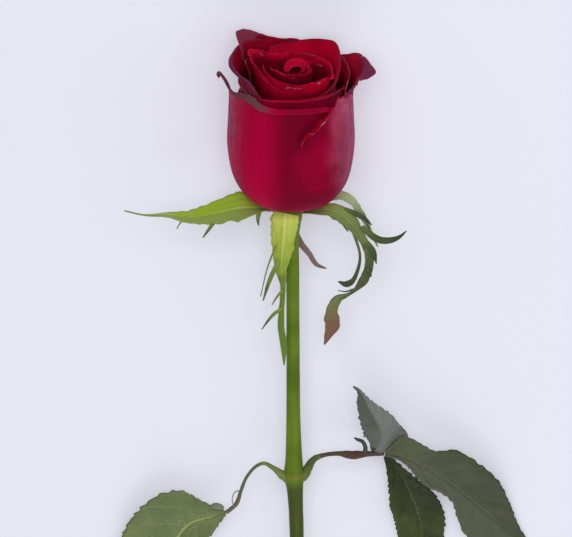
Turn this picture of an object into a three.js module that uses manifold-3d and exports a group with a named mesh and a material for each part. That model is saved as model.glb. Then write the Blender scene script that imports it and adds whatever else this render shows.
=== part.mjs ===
// A cut red rose laid on a table: one half-open bloom, five reflexed sepals with side lobes,
// a bare stem and two leaves that grow from one joint of the stem.
//
// The rose is shaped upright, in millimetres: x to the right, y away from the viewer, z up the
// stem, with the petals' seat at the origin. Each finished piece is then laid on its back, so that
// the bloom's belly and the cut end of the stem meet the table. Directions round the stem are
// degrees anticlockwise from the right, seen from above: the viewer stands at 270.

import * as THREE from "three";
import { mergeVertices } from "three/addons/utils/BufferGeometryUtils.js";
import Module from "manifold-3d";

const wasm = await Module();
wasm.setup();

// ---- Driving dimensions ----
const STEM_RADIUS = 2.5;
const STEM_END_Z = -236; // the cut end, below the petals' seat
const JOINT_Z = -103; // where both leaves grow
const BLOOM_X = -0.9; // the bloom leans a little to the left of the stem
const BELLY_RADIUS = 22.8; // the outermost petal at its widest
const BELLY_Z = 25;
const REST_Z = 24; // height up the bloom of the spot that it lies on
const REST_DEPTH = 20.5; // how far behind the bloom's axis that spot is
const PETAL_THICKNESS = 0.65;
const SEPAL_THICKNESS = 0.7;
const LEAF_THICKNESS = 0.6;
const GAP = 0.3; // clearance where one piece sits on another
const SHORTEST_EDGE = 0.02; // what joining leaves finer than this is merged
const WELD = 1e-3; // vertices nearer than this are one

// Lying down, the stem's axis rises by this angle from the cut end to the bloom.
const TILT = Math.atan((REST_DEPTH - STEM_RADIUS) / (REST_Z - STEM_END_Z));
const REST_SPOT = new THREE.Vector3(BLOOM_X, REST_DEPTH, REST_Z);
const TABLE_UP = new THREE.Vector3(0, -Math.cos(TILT), Math.sin(TILT));
// Lays the rose on its back, with the spot that the bloom rests on at the origin.
const LAID = new THREE.Matrix4()
  .makeRotationX(TILT - Math.PI / 2)
  .multiply(new THREE.Matrix4().makeTranslation(REST_SPOT.clone().negate()));

const { clamp, degToRad, lerp, smoothstep } = THREE.MathUtils;
const vector = (x, y, z) => new THREE.Vector3(x, y, z);
const FACING_VIEWER = [[0, -1, 0.2], [0, -1, 0.2]];

// ---- Smooth curves through a few evenly spaced stations ----

/** The value at share t of the way along the stations, on a Catmull-Rom curve. */
function along(stations, t) {
  const last = stations.length - 1;
  const place = clamp(t, 0, 1) * last;
  const i = Math.min(Math.floor(place), last - 1);
  const f = place - i;
  const p1 = stations[i];
  const p2 = stations[i + 1];
  const p0 = i > 0 ? stations[i - 1] : 2 * p1 - p2;
  const p3 = i + 2 <= last ? stations[i + 2] : 2 * p2 - p1;
  const bend = 2 * p0 - 5 * p1 + 4 * p2 - p3;
  const twist = 3 * p1 - 3 * p2 + p3 - p0;
  return p1 + 0.5 * f * (p2 - p0 + f * (bend + f * twist));
}

/** The point at share t of the way along a route, whose points are [x, y, z]. */
function onRoute(route, t) {
  return vector(...[0, 1, 2].map((k) => along(route.map((p) => p[k]), t)));
}

/** The direction in which a route runs at share t. */
function routeDirection(route, t) {
  const step = 0.01;
  return onRoute(route, Math.min(t + step, 1)).sub(onRoute(route, Math.max(t - step, 0))).normalize();
}

// ---- The table ----

/** How far a point is above the table that the laid rose rests on. */
const heightOverTable = (point) => point.clone().sub(REST_SPOT).dot(TABLE_UP);

/** Lifts a point to the lowest height that it may have, as the table presses a petal or leaf flat. */
function pressed(point, lowest) {
  const height = heightOverTable(point);
  return height < lowest ? point.addScaledVector(TABLE_UP, lowest - height) : point;
}

// ---- Closed bodies ----

/** A thin blade: sheet(u, v) is its middle surface, u and v from 0 to 1, and both faces are split alike. */
function blade(columns, rows, thickness, sheet, layer = 0) {
  const middle = [];
  for (let j = 0; j <= rows; j++)
    for (let i = 0; i <= columns; i++) middle.push(sheet(i / columns, j / rows));
  const at = (i, j) => middle[clamp(j, 0, rows) * (columns + 1) + clamp(i, 0, columns)];
  const front = [];
  const back = [];
  for (let j = 0; j <= rows; j++)
    for (let i = 0; i <= columns; i++) {
      const across = at(i + 1, j).clone().sub(at(i - 1, j));
      const lengthwise = at(i, j + 1).clone().sub(at(i, j - 1));
      const normal = across.cross(lengthwise).normalize();
      const lowest = layer * thickness * 1.3;
      const faces = [0.5, -0.5].map((side) => at(i, j).clone().addScaledVector(normal, side * thickness));
      const frontIsLow = heightOverTable(faces[0]) < heightOverTable(faces[1]);
      front.push(pressed(faces[0], frontIsLow ? lowest : lowest + thickness));
      back.push(pressed(faces[1], frontIsLow ? lowest + thickness : lowest));
    }
  const count = front.length;
  const index = [];
  const quad = (a, b, c, d) => index.push(a, b, c, a, c, d);
  for (let j = 0; j < rows; j++)
    for (let i = 0; i < columns; i++) {
      const a = j * (columns + 1) + i;
      const [b, c, d] = [a + 1, a + columns + 2, a + columns + 1];
      quad(a, b, c, d);
      index.push(count + a, count + c, count + b, count + a, count + d, count + c);
    }
  for (let i = 0; i < columns; i++) {
    const top = rows * (columns + 1) + i;
    quad(count + i, count + i + 1, i + 1, i);
    quad(top, top + 1, count + top + 1, count + top);
  }
  for (let j = 0; j < rows; j++) {
    const left = j * (columns + 1);
    const right = left + columns;
    quad(left, left + columns + 1, count + left + columns + 1, count + left);
    quad(count + right, count + right + columns + 1, right + columns + 1, right);
  }
  const places = [...front, ...back].flatMap((p) => [p.x, p.y, p.z]);
  return new THREE.BufferGeometry()
    .setAttribute("position", new THREE.Float32BufferAttribute(places, 3))
    .setIndex(index);
}

/** A closed round limb along a route, with its radius given at evenly spaced stations. */
function limb(route, radii, sides, rings) {
  const geometry = new THREE.CylinderGeometry(1, 1, 1, sides, rings);
  const position = geometry.getAttribute("position");
  for (let i = 0; i < position.count; i++) {
    const t = 0.5 + position.getY(i);
    const direction = routeDirection(route, t);
    const across = vector(0, 1, 0).cross(direction).normalize();
    const outward = across.clone().multiplyScalar(position.getX(i));
    outward.addScaledVector(direction.clone().cross(across), -position.getZ(i));
    const point = onRoute(route, t).addScaledVector(outward, along(radii, t));
    position.setXYZ(i, ...pressed(point, 0).toArray());
  }
  return geometry;
}

/**
 * A frond: a blade along a route, with its half widths to the left and the right at even
 * stations. facing is the way that its upper face looks, fold lifts both sides that way by a
 * share of their width, wave ripples them, and teeth saw both edges, pointing forwards.
 */
function frond({ route, left, right = left, facing = FACING_VIEWER, fold = 0, wave = 0, teeth = 0, ...rest }) {
  const { rows = 2 * teeth, columns = 4, thickness = LEAF_THICKNESS } = rest;
  return blade(columns, rows, thickness, (u, v) => {
    const side = 2 * u - 1;
    const edge = Math.abs(side);
    const saw = teeth && edge > 0.9 && v < 0.99 ? 2 * (Math.round(v * rows) % 2) - 1 : 0;
    const t = clamp(v + (0.35 * saw) / rows, 0, 1);
    const ahead = routeDirection(route, t);
    const leftward = onRoute(facing, t).cross(ahead).normalize();
    const up = ahead.clone().cross(leftward);
    const half = Math.max(along(side < 0 ? left : right, t), 0.36) * (1 + 0.05 * saw);
    const lift = fold * half * edge + wave * half * edge * edge * Math.sin(17 * t + 2 * side);
    return onRoute(route, t).addScaledVector(leftward, -side * half).addScaledVector(up, lift);
  });
}

/** A geometry as a solid, with vertices nearer than weld joined. */
function solid(geometry, weld = 1e-4) {
  const bare = geometry.clone();
  bare.deleteAttribute("normal");
  bare.deleteAttribute("uv");
  const merged = mergeVertices(bare, weld);
  return new wasm.Manifold(
    new wasm.Mesh({
      numProp: 3,
      vertProperties: merged.getAttribute("position").array,
      triVerts: new Uint32Array(merged.index.array),
    }),
  );
}

/** The largest body of a solid, without the slivers that joining or cutting leaves. */
function largest(joined) {
  return joined
    .simplify(SHORTEST_EDGE)
    .decompose()
    .reduce((a, b) => (a.volume() > b.volume() ? a : b));
}

/** All the geometries in one body: scraps are dropped, and a hollow that joining sealed is filled. */
const fused = (geometries) => largest(wasm.Manifold.union(geometries.map((geometry) => solid(geometry))));

/** A body cut back from its neighbours, which are given with the clearance on them. */
const trimmed = (body, ...neighbours) => largest(wasm.Manifold.difference([body, ...neighbours.map((neighbour) => solid(neighbour))]));

/** A body's surface as a geometry. */
function surface(body) {
  const mesh = body.getMesh();
  return new THREE.BufferGeometry()
    .setAttribute("position", new THREE.BufferAttribute(mesh.vertProperties, 3))
    .setIndex(new THREE.BufferAttribute(mesh.triVerts, 1));
}

/** A named sub-part with its own material, laid on the table. */
function piece(name, body, material) {
  const laid = solid(surface(body).applyMatrix4(LAID), WELD);
  const made = new THREE.Mesh(surface(largest(laid)), material);
  made.name = name;
  return made;
}

// ---- Materials ----
const finish = (color, roughness) => new THREE.MeshStandardMaterial({ color, roughness, metalness: 0 });
const petalRed = finish("#8f0a26", 0.6);
const stemGreen = finish("#66822b", 0.5);
const sepalGreen = finish("#8ea53c", 0.6);
const petioleGreen = finish("#76803f", 0.55);
const leafGreen = finish("#4c5a3c", 0.55);

// ---- Bloom ----
// Each petal rises from the seat, swells to its radius at the belly and ends in a rim. From the
// petal's clockwise side to its other side, rim gives the rim's height at even stations, flare
// how far it leans out and lip how far its edge rolls over and down. spread is half of the angle
// that the petal covers at the belly, crown the share of it that the rim keeps.
const OUTER_PETALS = [
  {
    angle: -6, spread: 76, radius: BELLY_RADIUS, crown: 0.62, layer: 0,
    rim: [34, 43.4, 49.2, 52, 49], flare: [0.2, 1.4, 5.4, 4.2, 2.4], lip: [0.4, 0, 0, 0.8, 1],
  },
  {
    angle: -128, spread: 80, radius: 22, crown: 0.7, layer: 1,
    rim: [49, 45.6, 48.2, 48, 47], flare: [2.4, 0, 0.6, 0.6, 0.2], lip: [0, 0.8, 2.4, 2.4, 1],
  },
  {
    angle: 96, spread: 74, radius: 21.3, crown: 0.62, layer: 0,
    rim: [49, 52, 53.5, 51, 46], flare: [1.5, 2.6, 3, 2, 0.4], lip: [0.5, 1.6, 2.4, 1.2, 0],
  },
  {
    angle: 45, spread: 62, radius: 20.2, crown: 0.65, layer: 1,
    rim: [49, 52, 54, 54, 51], flare: [0.2, 0.6, 1, 1.2, 1], lip: [0, 0.8, 1.2, 0.8, 0],
  },
  {
    angle: 98, spread: 62, radius: 19.4, crown: 0.66, layer: 2,
    rim: [54.4, 55.8, 57.4, 60, 62.4], flare: [0, 0, 0, 0.6, 1.8], lip: [0.6, 0.8, 0.6, 0.2, 0],
  },
  {
    angle: 172, spread: 66, radius: 18.9, crown: 0.68, layer: 3,
    rim: [57, 57, 53.8, 50.6, 47], flare: [0, 0.8, 1.2, 0.8, 0.2], lip: [0.4, 0.9, 1.1, 0.7, 0.2],
  },
  {
    angle: -62, spread: 66, radius: 19.4, crown: 0.66, layer: 3,
    rim: [46, 46.8, 47.2, 47.8, 48.2], flare: [0, 0.3, 0.5, 0.5, 0.2], lip: [0.3, 0.6, 0.8, 0.6, 0.3],
  },
  {
    angle: 24, spread: 98, radius: 16.6, crown: 0.86, layer: 4,
    rim: [47.5, 56.5, 59.4, 57.8, 55.6], flare: [-0.6, 0.6, 0.2, 0, 0], lip: [0, 0.4, 0.2, 0, 0],
  },
  {
    angle: -122, spread: 74, radius: 17.4, crown: 0.7, layer: 4,
    rim: [48.6, 47, 45.6, 45.4, 46], flare: [0.6, 0.3, 0, 0, 0], lip: [0.4, 0.4, 0.4, 0.4, 0.4],
  },
  {
    angle: 104, spread: 74, radius: 15.2, crown: 0.74, layer: 5,
    rim: [52.6, 53.2, 53.6, 54, 54.6], flare: [0, 0, 0.4, 1, 1.6], lip: [0, 0, 0, 0, 0],
  },
  {
    angle: 172, spread: 88, radius: 13, crown: 0.84, layer: 6,
    rim: [52.4, 55.6, 56.2, 51, 46.6], flare: [0, 2, 2.4, 0, -0.6], lip: [0, 0, 0, 0, 0],
  },
  {
    angle: -78, spread: 88, radius: 11.9, crown: 0.86, layer: 7,
    rim: [51.8, 49, 48.2, 48.8, 49.4], flare: [-0.4, -0.4, -0.2, 0, 0.6], lip: [0, 0, 0, 0, 0],
  },
];

// The closed heart: each next petal is turned by the golden angle and sits closer in.
const HEART_PETALS = 9;
const HEART_RADII = [10.8, 1.7];
const HEART_HEIGHTS = [50.6, 48];
const HEART_X = 1.8; // the heart stands a little right of the bloom's axis
const GOLDEN_ANGLE = 137.5;

function heartPetals() {
  return Array.from({ length: HEART_PETALS }, (_, i) => {
    const share = i / (HEART_PETALS - 1);
    const radius = lerp(...HEART_RADII, share);
    const height = lerp(...HEART_HEIGHTS, share);
    return {
      angle: 42 + (i + 1) * GOLDEN_ANGLE, spread: 95, radius, crown: 0.8, layer: 8,
      rim: [-1.2, 0, 0.6, 0.2, -1].map((wave) => height + wave),
      flare: [-0.5, -0.2, 0.2, -0.2, -0.6].map((lean) => lean * Math.min(1, radius / 6)),
      lip: [0, 0, 0, 0, 0],
    };
  });
}

const CORE_RADIUS = 5.6; // the seat of the petals, a cone
const CORE_HEIGHT = 15;
const CORNER_START = 0.5; // where up the petal its sides begin to round in
const SPIRAL = 0.5; // each petal's clockwise side lies out over its neighbour, the other side in

/** A petal's profile at one place across it: [radius, height] from the seat to the rim. */
function petalProfile(petal, across) {
  const out = BELLY_RADIUS - petal.radius;
  const foot = 0.3 + 0.42 * out;
  const root = CORE_RADIUS * (1 - foot / CORE_HEIGHT) - 1.6;
  const rise = BELLY_Z + 0.12 * out;
  const rim = along(petal.rim, across);
  const flare = along(petal.flare, across);
  const lip = along(petal.lip, across);
  const r = petal.radius;
  return [
    [root, foot],
    [lerp(root, r, 0.5), lerp(foot, rise, 0.1)],
    [lerp(root, r, 0.86), lerp(foot, rise, 0.42)],
    [r, lerp(foot, rise, 0.94)],
    [0.985 * r, lerp(rise, rim, 0.42)],
    [0.962 * r + 0.18 * flare, lerp(rise, rim, 0.78)],
    [r + flare, rim - 0.1 * Math.abs(flare)],
    [r + flare + 0.8 * lip + 0.25 * Math.max(flare, 0), rim - lip],
  ];
}

/** A petal's middle surface, round the bloom's axis. */
function petalSheet(petal) {
  const axis = petal.radius <= HEART_RADII[0] + 2 ? BLOOM_X + HEART_X : BLOOM_X;
  return (u, v) => {
    const profile = petalProfile(petal, u);
    const radius = along(profile.map((p) => p[0]), v);
    const height = along(profile.map((p) => p[1]), v);
    const corner = clamp((v - CORNER_START) / (1 - CORNER_START), 0, 1);
    const width = lerp(petal.crown, 1, Math.sqrt(1 - corner ** 2.6)) * lerp(0.8, 1, smoothstep(v, 0, 0.3));
    const side = 2 * u - 1;
    const turn = degToRad(petal.angle + side * petal.spread * width);
    const reach = radius - SPIRAL * side * smoothstep(v, 0.1, 0.4);
    const shift = lerp(BLOOM_X, axis, smoothstep(v, 0.1, 0.5));
    return vector(shift + reach * Math.cos(turn), reach * Math.sin(turn), height);
  };
}

function bloom() {
  const core = limb([[BLOOM_X, 0, GAP], [BLOOM_X, 0, CORE_HEIGHT / 2], [BLOOM_X, 0, CORE_HEIGHT]],
    [CORE_RADIUS - 1.2, CORE_RADIUS * 0.55, 0.6], 10, 4);
  const petals = OUTER_PETALS.map((petal) => blade(8, 9, PETAL_THICKNESS, petalSheet(petal), petal.layer));
  const heart = heartPetals().map((petal) => blade(8, 6, PETAL_THICKNESS, petalSheet(petal), petal.layer));
  return fused([core, ...petals, ...heart]);
}

/** The bloom's outer shape up to its belly, with clearance, to cut the sepals back from it. */
function bloomEnvelope() {
  const profile = petalProfile(OUTER_PETALS[0], 0.5).slice(0, 4);
  const reach = SPIRAL + PETAL_THICKNESS / 2 + GAP;
  return limb(profile.map(([, z]) => [BLOOM_X, 0, z - reach]), profile.map(([r]) => r + reach), 24, 9);
}

// ---- Stem ----
const STEM_ROUTE = [
  [-0.9, 0, -0.2], [-0.9, 0, -1.6], [-0.8, 0, -4.2], [-0.6, 0, -7.4], [-0.4, 0, -12], [-0.1, 0, -24], [0, 0, -52],
  [0.3, 0, -80], [0.7, 0, -97], [0.8, 0, JOINT_Z], [0.9, 0, -110], [1.2, 0, -126], [1.8, 0, -160], [2.4, 0.1, -198],
  [2.8, 0.3, STEM_END_Z],
];
const STEM_RADII = [3.7, 4.3, 4.1, 3.3, 2.55, 2.36, 2.4, 2.55, 3.1, 3.5, 2.95, 2.55, 2.5, 2.5, 2.6];

const stemGeometry = (clearance) => limb(STEM_ROUTE, STEM_RADII.map((r) => r + clearance), 14, 28);

function stem() {
  const slant = vector(0.5, 0, 0.866);
  return solid(stemGeometry(0)).trimByPlane(slant.toArray(), slant.dot(vector(0, 0, STEM_END_Z + 3.6)));
}

// ---- Sepals ----
const UP = [0, 0, 1];

const SEPALS = {
  sepal_left: [
    {
      route: [
        [-2.5, -0.6, -1.6], [-10.4, -1.8, 0], [-18.4, -3, 0.8], [-28.4, -3, -1.1], [-37.1, -2, -3], [-45.7, -1.5, -2.5],
        [-53.3, -1.5, -2.6], [-60.7, -2, -0.7],
      ],
      facing: [UP, [0, -0.2, 1], [0, -0.8, 0.5], [0, -1, 0.3], [0, -1, 0.2], [0, -1, 0.3], UP, UP],
      left: [2, 3, 4.8, 4, 2.5, 0.8, 0.5, 0.4], right: [2, 3.4, 5.4, 4, 2.5, 1, 0.5, 0.4], fold: 0.25, rows: 18,
    },
    { route: [[-26.6, -3, -1.5], [-29.5, -3.8, -6], [-32.4, -4.2, -10.2]], left: [0.9, 0.7, 0.4], columns: 2, rows: 4 },
    { route: [[-38.2, -2, -3], [-40.6, -2.3, -5.4], [-41.8, -2.4, -7.5]], left: [0.6, 0.4, 0.36], columns: 1, rows: 2 },
    {
      route: [[-12, -3.4, -0.2], [-12.6, -4.2, -2.6], [-12.4, -4.2, -5.6]],
      left: [1, 0.8, 0.4], columns: 2, rows: 4,
    },
  ],
  sepal_front: [
    {
      route: [
        [-2.2, -2.4, -1.4], [-3, -5.6, -3.2], [-3.3, -5.4, -8.6], [-3.8, -4.6, -15.4], [-4.3, -3.9, -22], [-3.6, -3.6, -29],
        [-4, -3.6, -36.2], [-4.3, -3.6, -43.9], [-3.4, -3.6, -51.5], [-3.2, -3.9, -59.2],
      ],
      facing: [[0, 0.4, 1], [0, -0.8, 0.6], [0, -1, 0.2], [0, -1, 0], [0, -1, 0], [0, -1, 0], [-0.2, -1, 0], [-0.2, -1, 0], [0, -1, 0], [0, -1, 0]],
      left: [2, 4.6, 4.5, 3.4, 1.9, 0.65, 0.8, 1, 1.1, 0.4], fold: -0.18, rows: 20,
    },
    { route: [[-5.6, -4.4, -12], [-9.2, -5.2, -21.4], [-11.7, -4.6, -32.7]], left: [0.6, 0.4, 0.36], columns: 1, rows: 6 },
    { route: [[-5, -4.1, -18.6], [-8.4, -4.8, -26.2], [-10.8, -4.4, -34.3]], left: [0.8, 0.8, 0.4], columns: 2, rows: 6 },
    { route: [[-3.8, -3.6, -30.5], [-6.1, -4, -33.4], [-7.6, -4, -36.1]], left: [0.6, 0.5, 0.36], columns: 1, rows: 3 },
    { route: [[-4.1, -3.7, -37.4], [-7.6, -4.2, -40.2], [-11.3, -3.8, -45.5]], left: [0.7, 0.7, 0.4], columns: 2, rows: 5 },
  ],
  sepal_right: [
    {
      route: [
        [1, -1.2, -1.8], [7.6, -3, -0.6], [14, -4, 0], [19.1, -4.6, -2.9], [23, -4.4, -7.5], [26.3, -3.6, -13.6], [27.4, -3, -19.9],
        [25.6, -2.4, -26.6], [21.2, -2, -32], [16.2, -1.6, -34.6], [14, -1.4, -39.3], [14, -1.4, -44.6], [11.3, -1, -52.4],
      ],
      facing: [UP, [0, -0.2, 1], [0, -0.6, 0.8], [0.3, -0.9, 0.4], [0.3, -1, 0.2], [0.2, -1, 0], [0, -1, 0], [0, -1, 0], [0, -1, 0], [0, -1, 0], [0, -1, 0], [0, -1, 0], [0, -1, 0]],
      left: [1.6, 2.8, 3.6, 3.8, 2.9, 1.7, 1.4, 1.6, 0.6, 1.4, 2.1, 2.5, 0.4], fold: 0.22, rows: 28,
    },
    { route: [[20.6, -4.8, -1.4], [24.4, -5.6, -2.4], [28.3, -5.4, -4.9]], left: [0.8, 0.6, 0.4], columns: 1, rows: 4 },
    { route: [[23.4, -4.6, -6.8], [29.9, -5.2, -10], [35.6, -5.6, -10.6], [40.5, -5.2, -7.5]], left: [0.9, 0.8, 0.6, 0.4], columns: 2, rows: 8 },
    { route: [[15.8, -5, -1.4], [17.8, -5.6, -4.4], [19.8, -5.6, -7.5]], left: [0.5, 0.4, 0.36], columns: 1, rows: 3 },
    {
      route: [[21.6, -4.9, -7.4], [24.1, -5.6, -16.7], [22.3, -5.4, -24.8], [19.4, -5, -27.6], [16.2, -4.6, -26.8]],
      left: [0.6, 0.5, 0.8, 1.1, 0.4], columns: 2, rows: 12,
    },
    { route: [[21.8, -2.2, -30.6], [19, -2.6, -31.4], [16.2, -2.8, -30.9]], left: [0.5, 0.4, 0.36], columns: 1, rows: 3 },
    { route: [[27.6, -3.3, -15.4], [29.3, -3.6, -17.6], [29.9, -3.6, -20.3]], left: [0.6, 0.5, 0.4], columns: 1, rows: 3 },
  ],
  sepal_back_right: [
    {
      route: [[0.6, 1.4, -1.8], [9, 6.6, -0.6], [16.6, 9.4, 1], [21.2, 10.5, -1.5], [24.1, 11, -5.9], [27, 11.2, -11.3], [30.6, 11, -19.3]],
      facing: [UP, [0, 0, 1], [0, -0.6, 0.8], [0.2, -1, 0.4], [0.2, -1, 0.2], [0, -1, 0], [0, -1, 0]],
      left: [1.4, 2.5, 2, 1.4, 1.2, 0.8, 0.4], fold: 0.2, rows: 16,
    },
    { route: [[22.4, 10.8, -3.2], [25.6, 11.2, -7], [27.4, 11, -12.4]], left: [0.7, 0.5, 0.36], columns: 1, rows: 4 },
  ],
  sepal_back: [
    {
      route: [[-1.6, 1.8, -1.9], [-1.8, 6.4, -4.2], [-0.7, 7, -11.1], [2.5, 6.4, -15.9], [5.8, 6, -20], [8.4, 5.6, -23.9], [12.1, 5, -25.3]],
      facing: [UP, [0, 0.6, 0.8], [0, 1, 0.1], [0, 1, 0], [0, 1, 0], [0, 1, 0], [0, 1, 0]],
      left: [1.5, 3.1, 3.2, 2, 1.3, 1, 0.4], fold: 0.2, rows: 16,
    },
  ],
};

/** A sepal with its side lobes, cut back from the hip and the bloom. */
function sepal(fronds) {
  const whole = fused(fronds.map((one) => frond({ thickness: SEPAL_THICKNESS, ...one })));
  return trimmed(whole, stemGeometry(GAP), bloomEnvelope());
}

// ---- Leaves ----
const LEFT_PETIOLE = {
  route: [
    [-0.4, 0, -106], [-3.4, -0.6, -104.3], [-6.6, -1, -100.5], [-10.4, -0.6, -98.3], [-14, 0.2, -100.3], [-17.1, 1, -104.9],
    [-18.9, 1.6, -110], [-20.6, 2.2, -115.1], [-24.1, 2.8, -118.6],
  ],
  radii: [1.6, 1.15, 0.75, 0.65, 0.6, 0.6, 0.6, 0.6, 0.6],
};
const RIGHT_PETIOLE = {
  route: [
    [1.8, 0.6, -107], [4.7, 0.8, -104.6], [5.6, 1, -101], [7.6, 1.2, -97.6], [11.7, 1.6, -95.8], [16.6, 2, -95.5], [21.6, 2.4, -96.2],
    [27, 2.8, -95.9], [33, 3.2, -95.9],
  ],
  radii: [1.6, 1.2, 0.9, 0.75, 0.65, 0.75, 1.3, 1, 0.65],
};
const STIPULE = { route: [[26.2, 2.6, -95.5], [25.7, 1.6, -92.8], [24.4, 1.2, -90.8], [22.2, 1, -89.3]], radii: [0.6, 0.5, 0.4, 0.35] };

const petioleGeometry = ({ route, radii }, clearance) => limb(route, radii.map((r) => r + clearance), 8, 24);

const LEAFLETS = {
  left_leaflet: {
    petiole: LEFT_PETIOLE,
    route: [[-23.4, 2.8, -118.4], [-31.7, 3.6, -121.1], [-38.2, 4.6, -125.7], [-43.9, 5.8, -134.2], [-49.7, 6.8, -145.3], [-55.4, 7.2, -156.6], [-61.2, 7.2, -167.8]],
    left: [0.8, 6.6, 9, 10.5, 10, 6.6, 0.36], right: [0.8, 9, 17.2, 19.4, 17.4, 11, 0.36], fold: 0.12, wave: 0.05, teeth: 14,
  },
  right_leaflet_upper: {
    petiole: RIGHT_PETIOLE,
    route: [[28.6, 2.6, -95.6], [30.8, 1, -89.4], [29.8, 0.2, -83.1], [27.7, -0.2, -77.6], [25.6, -0.2, -73], [22.4, 0, -69]],
    left: [1.4, 5.6, 5.2, 4.2, 2.8, 0.36], right: [1.4, 11.6, 9.4, 5.6, 2.8, 0.36], fold: 0.25, wave: 0.05, teeth: 12,
  },
  right_leaflet_end: {
    petiole: RIGHT_PETIOLE,
    route: [[32.2, 3.2, -95.7], [42.5, 3.8, -99], [51.5, 4.6, -104.2], [60.5, 5.8, -111.2], [69.1, 7.4, -119.1], [78.1, 9, -128.1], [86.8, 9.6, -136.7]],
    left: [1, 5.6, 10.5, 13, 11.5, 6.5, 0.36], right: [1, 4, 4.4, 6, 10, 7.5, 0.36], fold: 0.2, wave: 0.06, teeth: 15,
  },
  right_leaflet_lower: {
    petiole: RIGHT_PETIOLE,
    route: [[33, 4.4, -97], [38.6, 6.6, -105.2], [42.1, 7.4, -113.6], [44.6, 8, -121.5], [46.4, 8.4, -129.7], [47.5, 8.6, -138.3], [47.2, 8.8, -147.1]],
    left: [0.8, 4, 10, 10, 8.4, 5.4, 0.36], right: [0.8, 5.4, 8, 9, 9, 6, 0.36], fold: 0.15, wave: 0.06, teeth: 14,
  },
};

/** A toothed leaflet, cut back from the petiole that it grows on. */
function leaflet({ petiole, ...one }) {
  const tip = onRoute(petiole.route, 1).addScaledVector(routeDirection(petiole.route, 1), GAP);
  const route = [...petiole.route.slice(0, -1), tip.toArray()];
  return trimmed(solid(frond(one)), petioleGeometry({ ...petiole, route }, GAP));
}

// ---- Assembly ----
const rose = new THREE.Group();
rose.add(piece("bloom", bloom(), petalRed));
rose.add(piece("stem", stem(), stemGreen));
for (const [name, fronds] of Object.entries(SEPALS)) rose.add(piece(name, sepal(fronds), sepalGreen));
rose.add(piece("left_petiole", trimmed(solid(petioleGeometry(LEFT_PETIOLE, 0)), stemGeometry(GAP)), petioleGreen));
const rightPetiole = fused([petioleGeometry(RIGHT_PETIOLE, 0), limb(STIPULE.route, STIPULE.radii, 6, 6)]);
rose.add(piece("right_petiole", trimmed(rightPetiole, stemGeometry(GAP)), petioleGreen));
for (const [name, one] of Object.entries(LEAFLETS)) rose.add(piece(name, leaflet(one), leafGreen));
export default rose;
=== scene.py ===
"""The cut rose's looks: velvety petals, sepals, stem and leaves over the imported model.

The rose is shaped upright, as part.mjs shapes it, in millimetres: x to the right, y away from the
viewer, z up the stem, with the petals' seat at the origin. Laying then turns each point onto its
back, into the part's own frame in metres.
"""

from __future__ import annotations

import logging
import math
from dataclasses import dataclass, replace
from enum import Enum
from functools import partial
from typing import Callable, Sequence

import bmesh
import bpy
from mathutils import Matrix, Vector, noise


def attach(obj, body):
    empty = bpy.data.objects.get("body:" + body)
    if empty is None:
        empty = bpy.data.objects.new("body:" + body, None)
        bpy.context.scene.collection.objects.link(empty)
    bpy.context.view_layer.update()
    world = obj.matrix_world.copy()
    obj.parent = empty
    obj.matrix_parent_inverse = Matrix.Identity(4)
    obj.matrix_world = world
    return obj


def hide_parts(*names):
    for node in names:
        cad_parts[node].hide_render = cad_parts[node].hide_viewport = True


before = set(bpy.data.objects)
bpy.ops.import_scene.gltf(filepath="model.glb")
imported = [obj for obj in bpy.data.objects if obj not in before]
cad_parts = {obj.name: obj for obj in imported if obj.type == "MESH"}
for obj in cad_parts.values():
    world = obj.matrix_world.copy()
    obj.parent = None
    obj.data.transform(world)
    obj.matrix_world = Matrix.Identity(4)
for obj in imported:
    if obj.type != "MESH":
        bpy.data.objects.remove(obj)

log = logging.getLogger("cut_rose")

Numbers = Sequence[float]
Point = tuple[float, float, float]
Points = Sequence[Point]
Sheet = Callable[[float, float], Vector]
Radius = Callable[[float, float], float]
Socket = bpy.types.NodeSocket
Adder = Callable[..., Socket]

MM = 0.001  # metres in a millimetre

# ---- Driving dimensions, as in the part's source, in millimetres ----
STEM_RADIUS = 2.5
STEM_END_Z = -236.0
JOINT_Z = -103.0
BLOOM_X = -0.9
BELLY_RADIUS = 22.8
BELLY_Z = 25.0
REST_Z = 24.0
REST_DEPTH = 20.5
LAYER = 0.845  # the petals pressed on the table lie on each other at this spacing
CORE_RADIUS = 5.6
CORE_HEIGHT = 15.0
CORNER_START = 0.5  # how far up a petal its corners begin to round
SPIRAL = 0.5  # how far a petal's one side lies inside and its other side outside its ring
LEAST_TEAR = 0.12  # how deep even a sound rim is torn
HEART_X = 0.9  # the heart stands a little right of the bloom's axis
BUD_X = 0.4

# Side veins of a leaf, in its mesh and in its finish: pairs of them, how far ahead each has run
# at the edge, as a share of the leaf's length, and the power of its bow.
VEIN_PAIRS = 8.0
VEIN_RUN = 0.17
VEIN_BOW = 1.25

# ---- The photograph's frame ----
PICTURE_SIZE = (572, 537)
MM_PER_PIXEL = 0.36
CAMERA_DISTANCE = 5000.0
CAMERA_ELEVATION = 20.0  # how far the camera looks down into the upright bloom, in degrees
PICTURE_MIDDLE = (-2.52, -53.0 * MM_PER_PIXEL - 3)  # right of and above the seat, in the picture
SENSOR_WIDTH = 36.0


def lerp(a: float, b: float, t: float) -> float:
    """Return the value at share t of the way from a to b."""
    return a + (b - a) * t


def clamp(value: float, low: float = 0.0, high: float = 1.0) -> float:
    """Return the value held between two limits."""
    return max(low, min(high, value))


def smooth(value: float, low: float, high: float) -> float:
    """Return the smooth step from 0 at low to 1 at high."""
    t = clamp((value - low) / (high - low))
    return t * t * (3 - 2 * t)


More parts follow.
